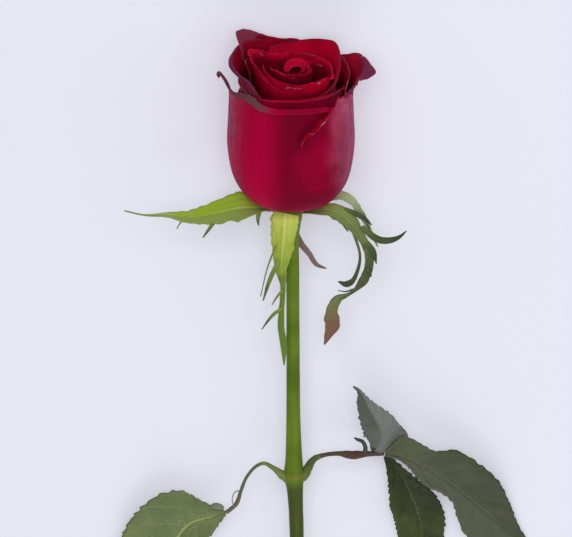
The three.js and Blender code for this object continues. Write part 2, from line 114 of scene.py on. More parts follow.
def along(stations: Numbers, t: float) -> float:
    """Read a Catmull-Rom curve through evenly spaced stations.

    Args:
        stations: The values at even steps.
        t: The share of the way along them, from 0 to 1.

    Returns:
        The curve's value there.
    """
    last = len(stations) - 1
    place = clamp(t) * last
    i = min(int(place), last - 1)
    f = place - i
    p1, p2 = stations[i], stations[i + 1]
    p0 = stations[i - 1] if i > 0 else 2 * p1 - p2
    p3 = stations[i + 2] if i + 2 <= last else 2 * p2 - p1
    bend = 2 * p0 - 5 * p1 + 4 * p2 - p3
    twist = 3 * p1 - 3 * p2 + p3 - p0
    return p1 + 0.5 * f * (p2 - p0 + f * (bend + f * twist))


class Laying:
    """Turns an upright point in millimetres into the laid rose's frame in metres."""

    tilt = math.atan((REST_DEPTH - STEM_RADIUS) / (REST_Z - STEM_END_Z))
    turn = Matrix.Rotation(tilt - math.pi / 2, 4, "X")
    matrix = Matrix.Scale(MM, 4) @ turn @ Matrix.Translation(-Vector((BLOOM_X, REST_DEPTH, REST_Z)))

    @classmethod
    def place(cls, point: Vector, lowest: float = 0.0) -> Vector:
        """Lay a point and keep it off the table.

        Args:
            point: The upright point, in millimetres.
            lowest: The least height over the table that it may have, in millimetres.

        Returns:
            The laid point, in metres.
        """
        laid = cls.matrix @ point
        laid.z = max(laid.z, MM * lowest)
        return laid

    @classmethod
    def aim(cls, direction: Vector) -> Vector:
        """Return an upright direction as it points once the rose is laid."""
        return (cls.turn.to_3x3() @ direction).normalized()


@dataclass(frozen=True)
class Route:
    """A smooth route through upright points, in millimetres."""

    stations: Points

    def point(self, t: float) -> Vector:
        """Return the point at share t of the way."""
        return Vector([along([p[k] for p in self.stations], t) for k in range(3)])

    def heading(self, t: float) -> Vector:
        """Return the direction of travel at share t of the way."""
        return (self.point(min(t + 0.01, 1)) - self.point(max(t - 0.01, 0))).normalized()


# ---- Finishes ----

# Node kinds, and the settings that many nodes share: a colour mix (factor 0, colours 6 and 7) and
# a soft ramp (value 0, from 1 to 2, to 3 to 4).
PLACE, SPLIT, MAPPING = "ShaderNodeTexCoord", "ShaderNodeSeparateXYZ", "ShaderNodeMapping"
NOISE, CELLS = "ShaderNodeTexNoise", "ShaderNodeTexVoronoi"
MATH, RANGE, MIX, BUMP = "ShaderNodeMath", "ShaderNodeMapRange", "ShaderNodeMix", "ShaderNodeBump"
COLOURS = {"output": 2, "data_type": "RGBA"}
SOFTLY = {"interpolation_type": "SMOOTHSTEP"}


def add_node(
    tree: bpy.types.NodeTree,
    kind: str,
    inputs: dict[str | int, object] | None = None,
    output: str | int = 0,
    **settings: object,
) -> Socket:
    """Add a shader node.

    Args:
        tree: The material's node tree.
        kind: The node's type.
        inputs: Sockets by name or number, each with a value or with the socket that feeds it.
        output: The output to return.
        **settings: The node's own properties.

    Returns:
        The chosen output socket.
    """
    node = tree.nodes.new(kind)
    for name, value in settings.items():
        setattr(node, name, value)
    for name, value in (inputs or {}).items():
        if isinstance(value, Socket):
            tree.links.new(value, node.inputs[name])
        else:
            node.inputs[name].default_value = value
    return node.outputs[output]


def linear(code: str) -> tuple[float, float, float, float]:
    """Turn an sRGB hex colour into the linear colour that Blender takes.

    Args:
        code: The colour, such as "#8b0a24".

    Returns:
        Linear red, green, blue and full alpha.
    """
    channels = [int(code[i : i + 2], 16) / 255 for i in (1, 3, 5)]
    straight = [c / 12.92 if c <= 0.04045 else ((c + 0.055) / 1.055) ** 2.4 for c in channels]
    return (straight[0], straight[1], straight[2], 1.0)


def across_and_up(add: Adder) -> tuple[Socket, Socket, Socket, Socket]:
    """Read a piece's own UV map.

    Args:
        add: Adds a node to the material.

    Returns:
        The UV socket, the share across, the distance from the middle (0 to 1 at the edge) and the
        share of the length.
    """
    uv = add("ShaderNodeUVMap", uv_map="UVMap")
    across = add(SPLIT, {"Vector": uv})
    up = add(SPLIT, {"Vector": uv}, output="Y")
    side = add(MATH, {0: across, 1: 2.0, 2: -1.0}, operation="MULTIPLY_ADD")
    return uv, across, add(MATH, {0: side}, operation="ABSOLUTE"), up


def apart(add: Adder, value: Socket, place: float) -> Socket:
    """Return how far a value is from a place, on either side of it."""
    off = add(MATH, {0: value, 1: -place}, operation="ADD")
    return add(MATH, {0: off}, operation="ABSOLUTE")


def weigh(add: Adder, *factors: Socket | float | dict) -> Socket:
    """Multiply what a share is made of.

    Args:
        add: Adds a node to the material.
        *factors: Sockets, numbers, and the inputs of soft ramps.

    Returns:
        The product's socket.
    """
    share = None
    for factor in factors:
        if isinstance(factor, dict):
            factor = add(RANGE, factor, **SOFTLY)
        share = factor if share is None else add(MATH, {0: share, 1: factor}, operation="MULTIPLY")
    return share


@dataclass(frozen=True)
class Pattern:
    """A finish's ground colour, the tones over it, each with its share's factors, and its relief."""

    ground: str
    tones: Sequence[tuple]  # each a colour, then what its share is the product of
    relief: Socket | None = None


@dataclass(frozen=True)
class Finish:
    """What every finish shares: its name, how it takes light and how its material is made."""

    name: str
    roughness: float = 0.5
    sheen: float = 0.0
    sheen_roughness: float = 0.4
    sheen_tint: str = "#ffffff"
    gloss: float = 0.5  # specular level
    translucency: float = 0.0  # subsurface weight
    translucent_radius: tuple[float, float, float] = (1.0, 0.2, 0.1)
    depth: float = 0.0  # how far light travels in it, in millimetres
    index: float = 1.42  # wet plant tissue under a thin cuticle
    lit: str = "#ffffff"
    glow: float = 0.0
    relief_height: float = 0.2  # in millimetres
    relief_share: float = 0.5

    def pattern(self, add: Adder) -> Pattern:
        """Return the finish's own pattern, which add puts nodes to."""
        raise NotImplementedError

    def material(self) -> bpy.types.Material:
        """Return the finish's material, made once."""
        if self.name in bpy.data.materials:
            return bpy.data.materials[self.name]
        material = bpy.data.materials.new(self.name)
        material.use_nodes = True
        tree = material.node_tree
        shader = tree.nodes["Principled BSDF"]
        plain = {
            "Roughness": self.roughness,
            "IOR": self.index,
            "Specular IOR Level": self.gloss,
            "Sheen Weight": self.sheen,
            "Sheen Roughness": self.sheen_roughness,
            "Sheen Tint": linear(self.sheen_tint),
            "Subsurface Weight": self.translucency,
            "Subsurface Radius": self.translucent_radius,
            "Subsurface Scale": MM * self.depth,
            "Emission Color": linear(self.lit),
            "Emission Strength": self.glow,
        }
        for name, value in plain.items():
            shader.inputs[name].default_value = value
        add = partial(add_node, tree)
        pattern = self.pattern(add)
        colour = linear(pattern.ground)
        for tone, *factors in pattern.tones:
            colour = add(MIX, {0: weigh(add, *factors), 6: colour, 7: linear(tone)}, **COLOURS)
        tree.links.new(colour, shader.inputs["Base Color"])
        if pattern.relief is not None:
            raised = {"Height": pattern.relief, "Distance": MM * self.relief_height}
            bump = add(BUMP, raised | {"Strength": self.relief_share}, output="Normal")
            tree.links.new(bump, shader.inputs["Normal"])
        return material


@dataclass(frozen=True)
class PetalFinish(Finish):
    """Rose petal: a matt velvet of tiny cells, darker at the rim, with fine veins up from the seat.

    The plain values are the inner face's.
    """

    roughness: float = 0.65
    sheen: float = 0.06
    sheen_roughness: float = 0.5
    sheen_tint: str = "#d83058"
    gloss: float = 0.04
    translucency: float = 0.04
    translucent_radius: tuple[float, float, float] = (1.0, 0.03, 0.05)
    depth: float = 0.8
    relief_height: float = 0.1
    deep: str = "#70001a"
    bright: str = "#a80024"
    rim: str = "#6e2c46"
    rim_start: float = 0.87  # how far up the dark rim begins
    rim_softness: float = 0.03
    rim_middle: float = 0.0  # where the dark rim is faintest, in metres to the right of the bloom
    rim_near: float = 0.002  # how far from there it begins to darken
    rim_far: float = 0.016  # and where it is darkest
    rim_least: float = 0.25
    corner_from: float = 0.0124  # how far out the rolled corners are dark all across
    corner_slant: float = 0.485
    edge: str = "#8c4058"  # the thin dry torn edge
    torn_share: float = 0.5
    streaks: float = 0.2
    painted_bands: float = 0.0  # how much one painted highlight band and two painted shade bands show up the petal
    # The flanks' grey: partly dry hairs, partly painted sheen.
    haze_and_sheen: str = "#a85e7a"
    haze_and_sheen_share: float = 0.0  # how much the flanks are greyed, by dry hairs and by painted sheen
    sunk: str = "#3c000e"
    sunk_from: float = 0.79  # below this the shade of its neighbours darkens it
    sunk_share: float = 0.7

    def pattern(self, add: Adder) -> Pattern:
        """Return the petal's colours and its relief of veins and cells."""
        uv, _, out, up = across_and_up(add)
        where = add(PLACE, output="Object")
        x = add(SPLIT, {0: where})
        y = add(SPLIT, {0: where}, output="Y")
        # Soft patches about 20 mm across, where the petal is thinner and light goes through it.
        patches = add(NOISE, {"Vector": where, "Scale": 50.0, "Detail": 1.5})
        ragged = add(NOISE, {"Vector": where, "Scale": 220.0, "Detail": 3.0})
        # Veins 1.5 mm apart, running up the petal.
        lengthwise = add(MAPPING, {"Vector": uv, "Scale": (30.0, 2.6, 1.0)})
        wavy = {"Vector": lengthwise, "Scale": 1.0, "Detail": 4.0, "Distortion": 0.9}
        veins = add(NOISE, wavy)
        wander = add(MATH, {0: patches, 1: 0.012, 2: x}, operation="MULTIPLY_ADD")
        # The painted highlight and shade bands' middles and the painted-sheen flanks' common middle, in
        # metres to the right of the bloom.
        middles = (-0.007, 0.0055, 0.017, 0.0045)
        painted_highlight_band, painted_shade_band, far_painted_shade_band, sheen_flank = (apart(add, wander, middle) for middle in middles)
        # The rim is darkest where it stands furthest out to the left and right, and the corners
        # that roll over are dark all across.
        aside = apart(add, x, self.rim_middle)
        raised = add(MATH, {0: ragged, 1: 0.1, 2: up}, operation="MULTIPLY_ADD")
        start = self.rim_start + 0.05
        high = {0: raised, 1: start - self.rim_softness, 2: start + 0.02}
        outer = {0: aside, 1: self.rim_near, 2: self.rim_far, 3: self.rim_least, 4: 0.92}
        slanted = add(MATH, {0: y, 1: -self.corner_slant, 2: aside}, operation="MULTIPLY_ADD")
        corner = {0: slanted, 1: self.corner_from, 2: self.corner_from + 0.0014, 4: 0.8}
        dark = {0: weigh(add, high, outer), 1: weigh(add, corner)}
        # Torn places along the edges are dry and pale.
        side = weigh(add, {0: out, 1: 0.97, 2: 0.995}, {0: up, 1: 0.82, 2: 0.95})
        brink = {0: side, 1: weigh(add, {0: up, 1: 0.985, 2: 0.998})}
        tones = [
            (self.bright, {0: patches, 1: 0.3, 2: 0.68}),
            # Painted light: one highlight band and two shade bands up the petal.
            (self.bright, {0: painted_highlight_band, 1: 0.0125, 2: 0.0, 4: self.painted_bands}),
            (self.deep, {0: painted_shade_band, 1: 0.0085, 2: 0.0, 4: self.painted_bands}),
            (self.deep, {0: far_painted_shade_band, 1: 0.012, 2: 0.0, 4: 0.5 * self.painted_bands}),
            (self.deep, {0: veins, 1: 0.4, 2: 0.75, 4: self.streaks}),
            (self.sunk, {0: up, 1: self.sunk_from, 2: self.sunk_from - 0.12, 4: self.sunk_share}),
            # Painted sheen greys both flanks, most near the top, together with the grey of dry hairs and
            # veins.
            (
                self.haze_and_sheen,
                {0: sheen_flank, 1: 0.0135, 2: 0.0225, 4: self.haze_and_sheen_share},
                {0: up, 1: 0.1, 2: 0.8, 3: 0.45, 4: 1.0},
                {0: veins, 1: 0.35, 2: 0.62, 3: 1.0, 4: 0.75},
                {0: ragged, 1: 0.42, 2: 0.62, 3: 1.0, 4: 0.6},
            ),
            (self.rim, add(MATH, dark, operation="MAXIMUM")),
            (
                self.edge,
                add(MATH, brink, operation="MAXIMUM"),
                {0: ragged, 1: 0.44, 2: 0.58, 4: self.torn_share},
            ),
        ]
        # Cells too fine to show are drawn 0.7 mm across.
        cells = add(NOISE, {"Vector": where, "Scale": 1400.0, "Detail": 2.0})
        relief = add(MATH, {0: veins, 1: 1.2, 2: cells}, operation="MULTIPLY_ADD")
        return Pattern(self.deep, tones, relief)


@dataclass(frozen=True)
class LeafFinish(Finish):
    """Rose leaf: a satin cuticle over a net of veins, the midrib and side veins a little paler.

    The plain colours are the end leaflet's.
    """

    roughness: float = 0.42
    sheen: float = 0.1
    sheen_roughness: float = 0.45
    sheen_tint: str = "#c8d0d0"
    gloss: float = 0.3
    blade: str = "#464d34"
    shade: str = "#3a422c"
    midrib: str = "#545d42"
    vein: str = "#4b533a"
    edge: str = "#33382a"
    near: str = "#4f573e"  # the blade near the stalk
    near_reach: float = 0.0  # how far up the leaf that tone runs
    near_share: float = 0.0
    half: str = "#555c48"  # the blade on the midrib's far side, which takes light differently
    half_share: float = 0.0
    dot: str = "#a3ad5c"
    dots: float = 0.14  # how strongly pale dots show along the midrib
    dots_reach: float = 0.28
    length_mm: float = 60.0
    width_mm: float = 30.0
    mesh_mm: float = 1.3  # how wide the meshes of the finest net of veins are
    standing: bool = False  # whether the veins stand out of this face

    def pattern(self, add: Adder) -> Pattern:
        """Return the leaf's colours and its relief of veins."""
        uv, across, out, up = across_and_up(add)
        where = add(PLACE, output="Object")
        patches = add(NOISE, {"Vector": where, "Scale": 70.0, "Detail": 4.0})
        place = add(MATH, {0: patches, 1: 0.3, 2: up}, operation="MULTIPLY_ADD")
        # Side veins run forwards as they leave the midrib, one pair to each step up the leaf.
        bowed = add(MATH, {0: out, 1: VEIN_BOW}, operation="POWER")
        ahead = add(MATH, {0: bowed, 1: -VEIN_RUN, 2: up}, operation="MULTIPLY_ADD")
        wander = add(MATH, {0: patches, 1: 0.05, 2: ahead}, operation="MULTIPLY_ADD")
        steps = add(MATH, {0: wander, 1: VEIN_PAIRS}, operation="MULTIPLY")
        beside = add(MATH, {0: steps, 1: 0.5}, operation="PINGPONG")
        side_vein = weigh(add, {0: beside, 1: 0.06, 2: 0.0})
        midrib = weigh(add, {0: out, 1: 0.05, 2: 0.015})
        meshes = (self.width_mm / self.mesh_mm, self.length_mm / self.mesh_mm, 1.0)
        grid = add(MAPPING, {"Vector": uv, "Scale": meshes})
        net = add(CELLS, {"Vector": grid, "Scale": 1.0}, feature="DISTANCE_TO_EDGE")
        net_line = weigh(add, {0: net, 1: 0.12, 2: 0.0})
        # Dots half a millimetre across and 1.2 mm apart.
        spots = add(CELLS, {"Vector": where, "Scale": 800.0})
        reach = self.near_reach
        tones = (
            (self.blade, {0: patches, 1: 0.34, 2: 0.68}),
            (self.near, {0: place, 1: reach + 0.15, 2: reach - 0.05, 4: self.near_share}),
            (self.half, {0: across, 1: 0.46, 2: 0.6, 4: self.half_share}),
            (self.vein, net_line, 0.12),
            (self.vein, side_vein, 0.3),
            (self.midrib, midrib, {0: up, 1: 0.1, 2: 0.8, 3: 1.0, 4: 0.45}),
            (self.dot, {0: spots, 1: 0.3, 2: 0.16, 4: self.dots}, {0: out, 1: self.dots_reach, 2: 0.04}),
            (self.edge, {0: out, 1: 0.965, 2: 1.0, 4: 0.7}),
        )
        veins = add(MATH, {0: side_vein, 1: midrib}, operation="MAXIMUM")
        relief = add(MATH, {0: net_line, 1: 0.3, 2: veins}, operation="MULTIPLY_ADD")
        return Pattern(self.shade, tones, weigh(add, relief, 1.0 if self.standing else -1.0))


@dataclass(frozen=True)
class SepalFinish(Finish):
    """Rose sepal: soft downy green, pale along its fold, going dark or brown towards its tip."""

    sheen: float = 0.15
    sheen_roughness: float = 0.5
    sheen_tint: str = "#c8d0b0"
    gloss: float = 0.2
    translucency: float = 0.05
    translucent_radius: tuple[float, float, float] = (0.5, 0.8, 0.1)
    depth: float = 0.8
    relief_height: float = 0.15
    relief_share: float = 0.6
    base: str = "#93a03a"
    middle: str = "#8a9f24"
    tip: str = "#98a468"
    fold: str = "#b5c070"
    shade: str = "#6f8428"
    turn: float = 0.55  # how far along the middle colour gives way to the tip's
    late: str = "#444d30"  # a patch part of the way along
    late_at: float = 0.58
    late_reach: float = 0.2
    late_share: float = 0.0
    under: str = "#828f4e"  # the half that lies in its own shade
    under_share: float = 0.0

    def pattern(self, add: Adder) -> Pattern:
        """Return the sepal's colours and its relief of veins and down."""
        uv, across, out, up = across_and_up(add)
        where = add(PLACE, output="Object")
        # Patches of 3 to 4 mm, so that no colour changes along a straight line.
        patches = add(NOISE, {"Vector": where, "Scale": 280.0, "Detail": 4.0})
        place = add(MATH, {0: patches, 1: 0.3, 2: up}, operation="MULTIPLY_ADD")
        far = apart(add, place, self.late_at + 0.15)
        reach = self.late_reach
        lengthwise = add(MAPPING, {"Vector": uv, "Scale": (9.0, 2.4, 1.0)})
        veins = add(NOISE, {"Vector": lengthwise, "Scale": 1.0, "Detail": 3.0})
        tones = (
            (self.middle, {0: place, 1: 0.2, 2: 0.5}),
            (self.late, {0: far, 1: reach, 2: 0.5 * reach, 4: self.late_share}),
            (self.tip, {0: place, 1: self.turn + 0.15, 2: self.turn + 0.38}),
            (self.under, {0: across, 1: 0.5, 2: 0.36, 4: self.under_share}),
            (self.shade, {0: veins, 1: 0.48, 2: 0.7, 4: 0.5}),
            (self.shade, {0: out, 1: 0.82, 2: 1.0, 4: 0.6}),
            (self.fold, {0: out, 1: 0.09, 2: 0.01, 4: 0.7}, {0: up, 1: 0.6, 2: 0.15}),
        )
        # The down is drawn as bumps 0.6 mm apart.
        down = add(NOISE, {"Vector": where, "Scale": 1600.0, "Detail": 2.0})
        relief = add(MATH, {0: veins, 1: 1.2, 2: down}, operation="MULTIPLY_ADD")
        return Pattern(self.base, tones, relief)


@dataclass(frozen=True)
class BarkFinish(Finish):
    """Young green rose bark: a smooth waxy skin with faint streaks along it and small pale pores."""

    roughness: float = 0.45
    sheen: float = 0.04
    gloss: float = 0.15
    light: str = "#677c22"
    dark: str = "#4e6612"
    foot: str = "#434d1e"  # the older bark past foot_from
    foot_from: float = 2.0
    pore: str = "#8f9a55"
    stain: str = "#8a743c"
    stain_at: float = 0.5  # how far along the stain lies
    stain_reach: float = 0.05
    stain_share: float = 0.5

    def pattern(self, add: Adder) -> Pattern:
        """Return the bark's colours and its relief of streaks."""
        *_, up = across_and_up(add)
        where = add(PLACE, output="Object")
        # Streaks a millimetre wide and some 35 mm long.
        lengthwise = add(MAPPING, {"Vector": where, "Scale": (900.0, 28.0, 900.0)})
        streaks = add(NOISE, {"Vector": lengthwise, "Scale": 1.0, "Detail": 3.0})
        patches = add(NOISE, {"Vector": where, "Scale": 60.0, "Detail": 3.0})
        pores = add(CELLS, {"Vector": where, "Scale": 420.0})
        stained = {0: apart(add, up, self.stain_at), 1: self.stain_reach, 2: 0.0, 4: self.stain_share}
        tones = (
            (self.light, {0: patches, 1: 0.3, 2: 0.7}),
            (self.foot, {0: up, 1: self.foot_from, 2: self.foot_from + 0.05}),
            (self.dark, {0: streaks, 1: 0.45, 2: 0.7, 4: 0.35}),
            (self.pore, {0: pores, 1: 0.14, 2: 0.05, 4: 0.3}),
            (self.stain, stained, {0: patches, 1: 0.35, 2: 0.55, 3: 0.4}),
        )
        return Pattern(self.dark, tones, streaks)


@dataclass(frozen=True)
class PithFinish(Finish):
    """Freshly cut stem: a damp pale pith with greener fibres in it."""

    roughness: float = 0.45
    relief_share: float = 1.0
    pith: str = "#d9dcb0"
    fibre: str = "#8fa25a"

    def pattern(self, add: Adder) -> Pattern:
        """Return the cut face's colours and its grain, two thirds of a millimetre across."""
        where = add(PLACE, output="Object")
        grain = add(NOISE, {"Vector": where, "Scale": 1500.0, "Detail": 3.0})
        return Pattern(self.pith, [(self.fibre, {0: grain, 1: 0.3, 2: 0.7})], grain)


@dataclass(frozen=True)
class BoardFinish(Finish):
    """Light table: a matt, pale and cool board, with only a trace of unevenness, lit from below."""

    roughness: float = 0.9
    lit: str = "#e9e8f2"
    glow: float = 0.4
    paint: str = "#b8b9c2"
    worn: str = "#b4b5be"

    def pattern(self, add: Adder) -> Pattern:
        """Return the board's colours."""
        where = add(PLACE, output="Object")
        return Pattern(self.paint, [(self.worn, add(NOISE, {"Vector": where, "Scale": 6.0, "Detail": 2.0}))])


class Coat(Enum):
    """The finishes of the rose's own pieces."""

    PETAL_INSIDE = PetalFinish("rose petal, velvet inner face")
    PETAL_TORN = PetalFinish(
        "rose petal, torn side", rim_near=0.016, rim_far=0.022, rim_least=0.0, edge="#c48aa0", torn_share=1.0
    )
    # Painted shade: a darker copy of the inner face for the left petal's hollow.
    PETAL_HOLLOW_SHADE = PetalFinish("rose petal, hollow side", deep="#66001a", bright="#940020", rim="#6a2c44")
    PETAL_TALL = PetalFinish(
        "rose petal, purpled corner",
        deep="#64001a", bright="#98001f", rim="#78344c", corner_from=0.0292, corner_slant=-0.5,
    )
    PETAL_PLAIN = PetalFinish(
        "rose petal, plain rim",
        bright="#b40028", rim="#7c1430", rim_least=0.1, edge="#8c2040", torn_share=0.3,
    )
    PETAL_LIP = PetalFinish(
        "rose petal, dried lip", sheen_tint="#a06070", translucent_radius=(1.0, 0.05, 0.06),
        deep="#78001f", bright="#a80034", rim="#5c3e42", rim_start=0.8, rim_softness=0.08, rim_middle=0.009,
        rim_near=0.0145, rim_far=0.0205, rim_least=0.0, edge="#7c4050", torn_share=0.3, sunk_share=0.0,
    )
    PETAL_OUTSIDE = PetalFinish(
        "rose petal, outer face", 0.6, 0.12, 0.4, "#b06488",
        translucency=0.03, translucent_radius=(1.0, 0.03, 0.06), deep="#6c0020", bright="#a80036",
        rim="#9c4a68", rim_start=0.9, rim_softness=0.1, corner_from=0.0242, corner_slant=0.0,
        edge="#c88098", torn_share=0.95, painted_bands=0.85, haze_and_sheen="#b86486", haze_and_sheen_share=0.74, sunk_share=0.0,
    )
    PETAL_FRONT = replace(
        PETAL_OUTSIDE, name="rose petal, front outer face",
        rim="#7c2c48", edge="#8c4058", torn_share=0.2, haze_and_sheen="#a85e7a", haze_and_sheen_share=0.6,
    )
    PETAL_BEHIND = replace(
        PETAL_FRONT, name="rose petal, sheltered outer face",
        rim="#7c1c3c", edge="#9c3c58", torn_share=0.4, haze_and_sheen_share=0.25,
    )
    HEART_PETAL = PetalFinish(
        "rose petal, heart", 0.6, gloss=0.05, translucency=0.05, deep="#88001e", bright="#c80032",
        rim="#80183a", rim_start=0.97, corner_from=0.1, corner_slant=0.0, edge="#c07890", torn_share=0.9,
        sunk_from=0.81, sunk_share=0.65,
    )
    # Painted shade: darker copies of the heart petal for the heart's depth, its hollow sides and its left
    # petal.
    HEART_DEPTH_SHADE = replace(
        HEART_PETAL, name="rose petal, depth of the heart", deep="#74001a", bright="#bc002e",
        rim="#88183a", edge="#a84860", torn_share=0.5, sunk_from=0.925, sunk_share=0.8,
    )
    HEART_WALL_SHADE = replace(
        HEART_PETAL, name="rose petal, heart, hollow side", deep="#78001a", sunk_from=0.88, sunk_share=0.8
    )
    HEART_LEFT_SHADE = replace(
        HEART_PETAL, name="rose petal, heart, shaded side", deep="#74001a", bright="#ac002a"
    )
    STEM = BarkFinish(
        "young rose stem bark",
        sheen=0.02, foot_from=0.655, stain_at=0.643, stain_reach=0.016, stain_share=0.4,
    )
    STALK = BarkFinish(
        "rose leaf stalk bark", gloss=0.2, light="#76803e", dark="#4c5628", foot="#4c3c2e",
        foot_from=0.42, stain="#4c3228", stain_at=0.8, stain_reach=0.16, stain_share=0.85,
    )
    LEFT_STALK = BarkFinish(
        "rose leaf stalk bark, green", gloss=0.2, light="#7a8646", dark="#586434", foot="#5c5e48",
        foot_from=0.4, stain="#6c6250", stain_at=0.95, stain_reach=0.15, stain_share=0.6,
    )
    STIPULE = BarkFinish(
        "rose stipule, dry", 0.5,
        light="#50554a", dark="#3a3e36", foot="#3a3c36", foot_from=0.5, stain="#4a4038",
    )
    LEAF_BUD = BarkFinish(
        "rose leaflet bud, downy", 0.5, light="#77846e", dark="#626e5a", stain="#6a6458", stain_share=0.2
    )
    PITH = PithFinish("cut stem pith")
    SEPAL_LEFT = SepalFinish("rose sepal, sunlit", sheen_tint="#e8f0b0", under_share=0.75)
    SEPAL_FRONT = SepalFinish(
        "rose sepal, pale", sheen_tint="#e8f0b0",
        base="#bcc658", middle="#93a238", tip="#5d7428", fold="#c8d07a", shade="#7f9038", turn=0.34,
    )
    SEPAL_RIGHT = SepalFinish(
        "rose sepal, dried tip", translucency=0.03, base="#8f9a4c", middle="#6c7a44", tip="#7a5644",
        fold="#939f6c", shade="#42502c", turn=0.72, late_share=0.85,
    )
    SEPAL_BEHIND = SepalFinish(
        "rose sepal, pale back", sheen_tint="#d8e0c0",
        base="#a4b070", middle="#a8b384", tip="#7c8858", fold="#c0c898", shade="#7c8a58",
    )
    SEPAL_LOBE = SepalFinish(
        "rose sepal, side lobe", translucency=0.0,
        base="#5a6838", middle="#424d2a", tip="#3c432c", fold="#68764a", shade="#39432a", turn=0.5,
    )
    SEPAL_GREEN_LOBE = SepalFinish(
        "rose sepal, green side lobe", translucency=0.0,
        base="#7d9030", middle="#6c7c34", tip="#4f5c34", fold="#8a9a50", shade="#56663a", turn=0.5,
    )
    SEPAL_BACK = SepalFinish(
        "rose sepal, browned", sheen_tint="#d8b8a8", translucency=0.03, translucent_radius=(0.6, 0.5, 0.1),
        base="#7c8058", middle="#7c6c5c", tip="#7c6460", fold="#8f8678", shade="#6a5a50", turn=0.35,
    )
    LEAF_LEFT = LeafFinish(
        "rose leaf, pale lower face", 0.5, 0.1, 0.5, "#d8e0c0", 0.25, blade="#6f7b4c", shade="#5d6a44",
        midrib="#96a35c", vein="#8c9858", edge="#4c5230", dots=0.5, dots_reach=0.75, standing=True,
    )
    LEAF_UPPER = LeafFinish(
        "rose leaf, grey lower face", 0.48, 0.15, 0.5, "#d0d8d8", 0.25, blade="#62675c", shade="#4a4f45",
        midrib="#62665a", vein="#62675a", edge="#3e4238", half="#757974", half_share=0.8, dots=0.1,
        standing=True,
    )
    LEAF_END = LeafFinish("rose leaf, upper face", near_reach=0.34, near_share=0.85, half_share=0.75)
    LEAF_LOWER = LeafFinish(
        "rose leaf, fresh upper face", sheen=0.08, sheen_tint="#c8d0c0", blade="#384418",
        shade="#263014", midrib="#495828", vein="#3c4920", edge="#262c1a",
    )
    BOARD = BoardFinish("matt painted board")

    def material(self) -> bpy.types.Material:
        """Return this finish's material."""
        return self.value.material()


# ---- Mesh helpers ----


def new_bmesh() -> bmesh.types.BMesh:
    """Return an empty bmesh with a UV map."""
    bm = bmesh.new()
    bm.loops.layers.uv.new("UVMap")
    return bm


def add_sheet(
    bm: bmesh.types.BMesh,
    faces: tuple[int, int],
    sheet: Sheet,
    slot: int = 0,
    lowest: float = 0.0,
) -> list:
    """Add a grid and bend it over a sheet.

    Args:
        bm: The bmesh to add to.
        faces: Faces across and along.
        sheet: Gives the upright point at a share across and a share along.
        slot: The faces' material slot.
        lowest: The least height over the table, in millimetres.

    Returns:
        The grid's vertices.
    """
    columns, rows = faces
    made = bmesh.ops.create_grid(bm, x_segments=columns, y_segments=rows, size=0.5, calc_uvs=True)["verts"]
    for vert in made:
        vert.co = Laying.place(sheet(vert.co.x + 0.5, vert.co.y + 0.5), lowest)
    for face in {face for vert in made for face in vert.link_faces}:
        face.material_index = slot
    return made


def add_tube(
    bm: bmesh.types.BMesh,
    faces: tuple[int, int],
    route: Route,
    radius: Radius,
    slot: int = 0,
) -> None:
    """Add a closed tube along a route.

    Args:
        bm: The bmesh to add to.
        faces: Faces round it and along it.
        route: The tube's middle line.
        radius: Gives the radius at a share of the way round and a share along.
        slot: The faces' material slot.
    """

    def sheet(u: float, v: float) -> Vector:
        ahead = route.heading(v)
        across = Vector((0, 1, 0)).cross(ahead).normalized()
        turn = 2 * math.pi * u
        outward = across * math.cos(turn) + ahead.cross(across) * math.sin(turn)
        return route.point(v) + outward * radius(u, v)

    made = add_sheet(bm, faces, sheet, slot)
    bmesh.ops.remove_doubles(bm, verts=made, dist=1e-7)
    edges = {edge for vert in made if vert.is_valid for edge in vert.link_edges if edge.is_boundary}
    bmesh.ops.holes_fill(bm, edges=list(edges), sides=faces[0] + 2)


def piece_of(
    bm: bmesh.types.BMesh,
    name: str,
    node: str,
    coats: Sequence[Coat],
    thickness: float = 0.0,
    levels: int = 0,
) -> bpy.types.Object:
    """Turn a bmesh into a finished piece that stands for a CAD node.

    Args:
        bm: The piece's mesh, in the laid frame; it is freed.
        name: The piece's name.
        node: The CAD node that it replaces.
        coats: Its finishes, one to each material slot; a wall's second finish is for its other face.
        thickness: Wall thickness to give an open sheet, in millimetres.
        levels: Subdivision levels.

    Returns:
        The object.
    """
    mesh = bpy.data.meshes.new(name)
    bm.to_mesh(mesh)
    bm.free()
    for coat in coats:
        mesh.materials.append(coat.material())
    mesh.shade_smooth()
    piece = bpy.data.objects.new(name, mesh)
    bpy.context.scene.collection.objects.link(piece)
    if thickness:
        wall = piece.modifiers.new("wall", "SOLIDIFY")
        wall.thickness = MM * thickness
        wall.offset = 0.0
        wall.material_offset = len(coats) - 1
    if levels:
        finer = piece.modifiers.new("finer", "SUBSURF")
        finer.levels = finer.render_levels = levels
    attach(piece, "root")
    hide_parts(node)
    log.info("%s: %d faces, stands for %s", name, len(mesh.polygons), node)
    return piece


# ---- Bloom ----


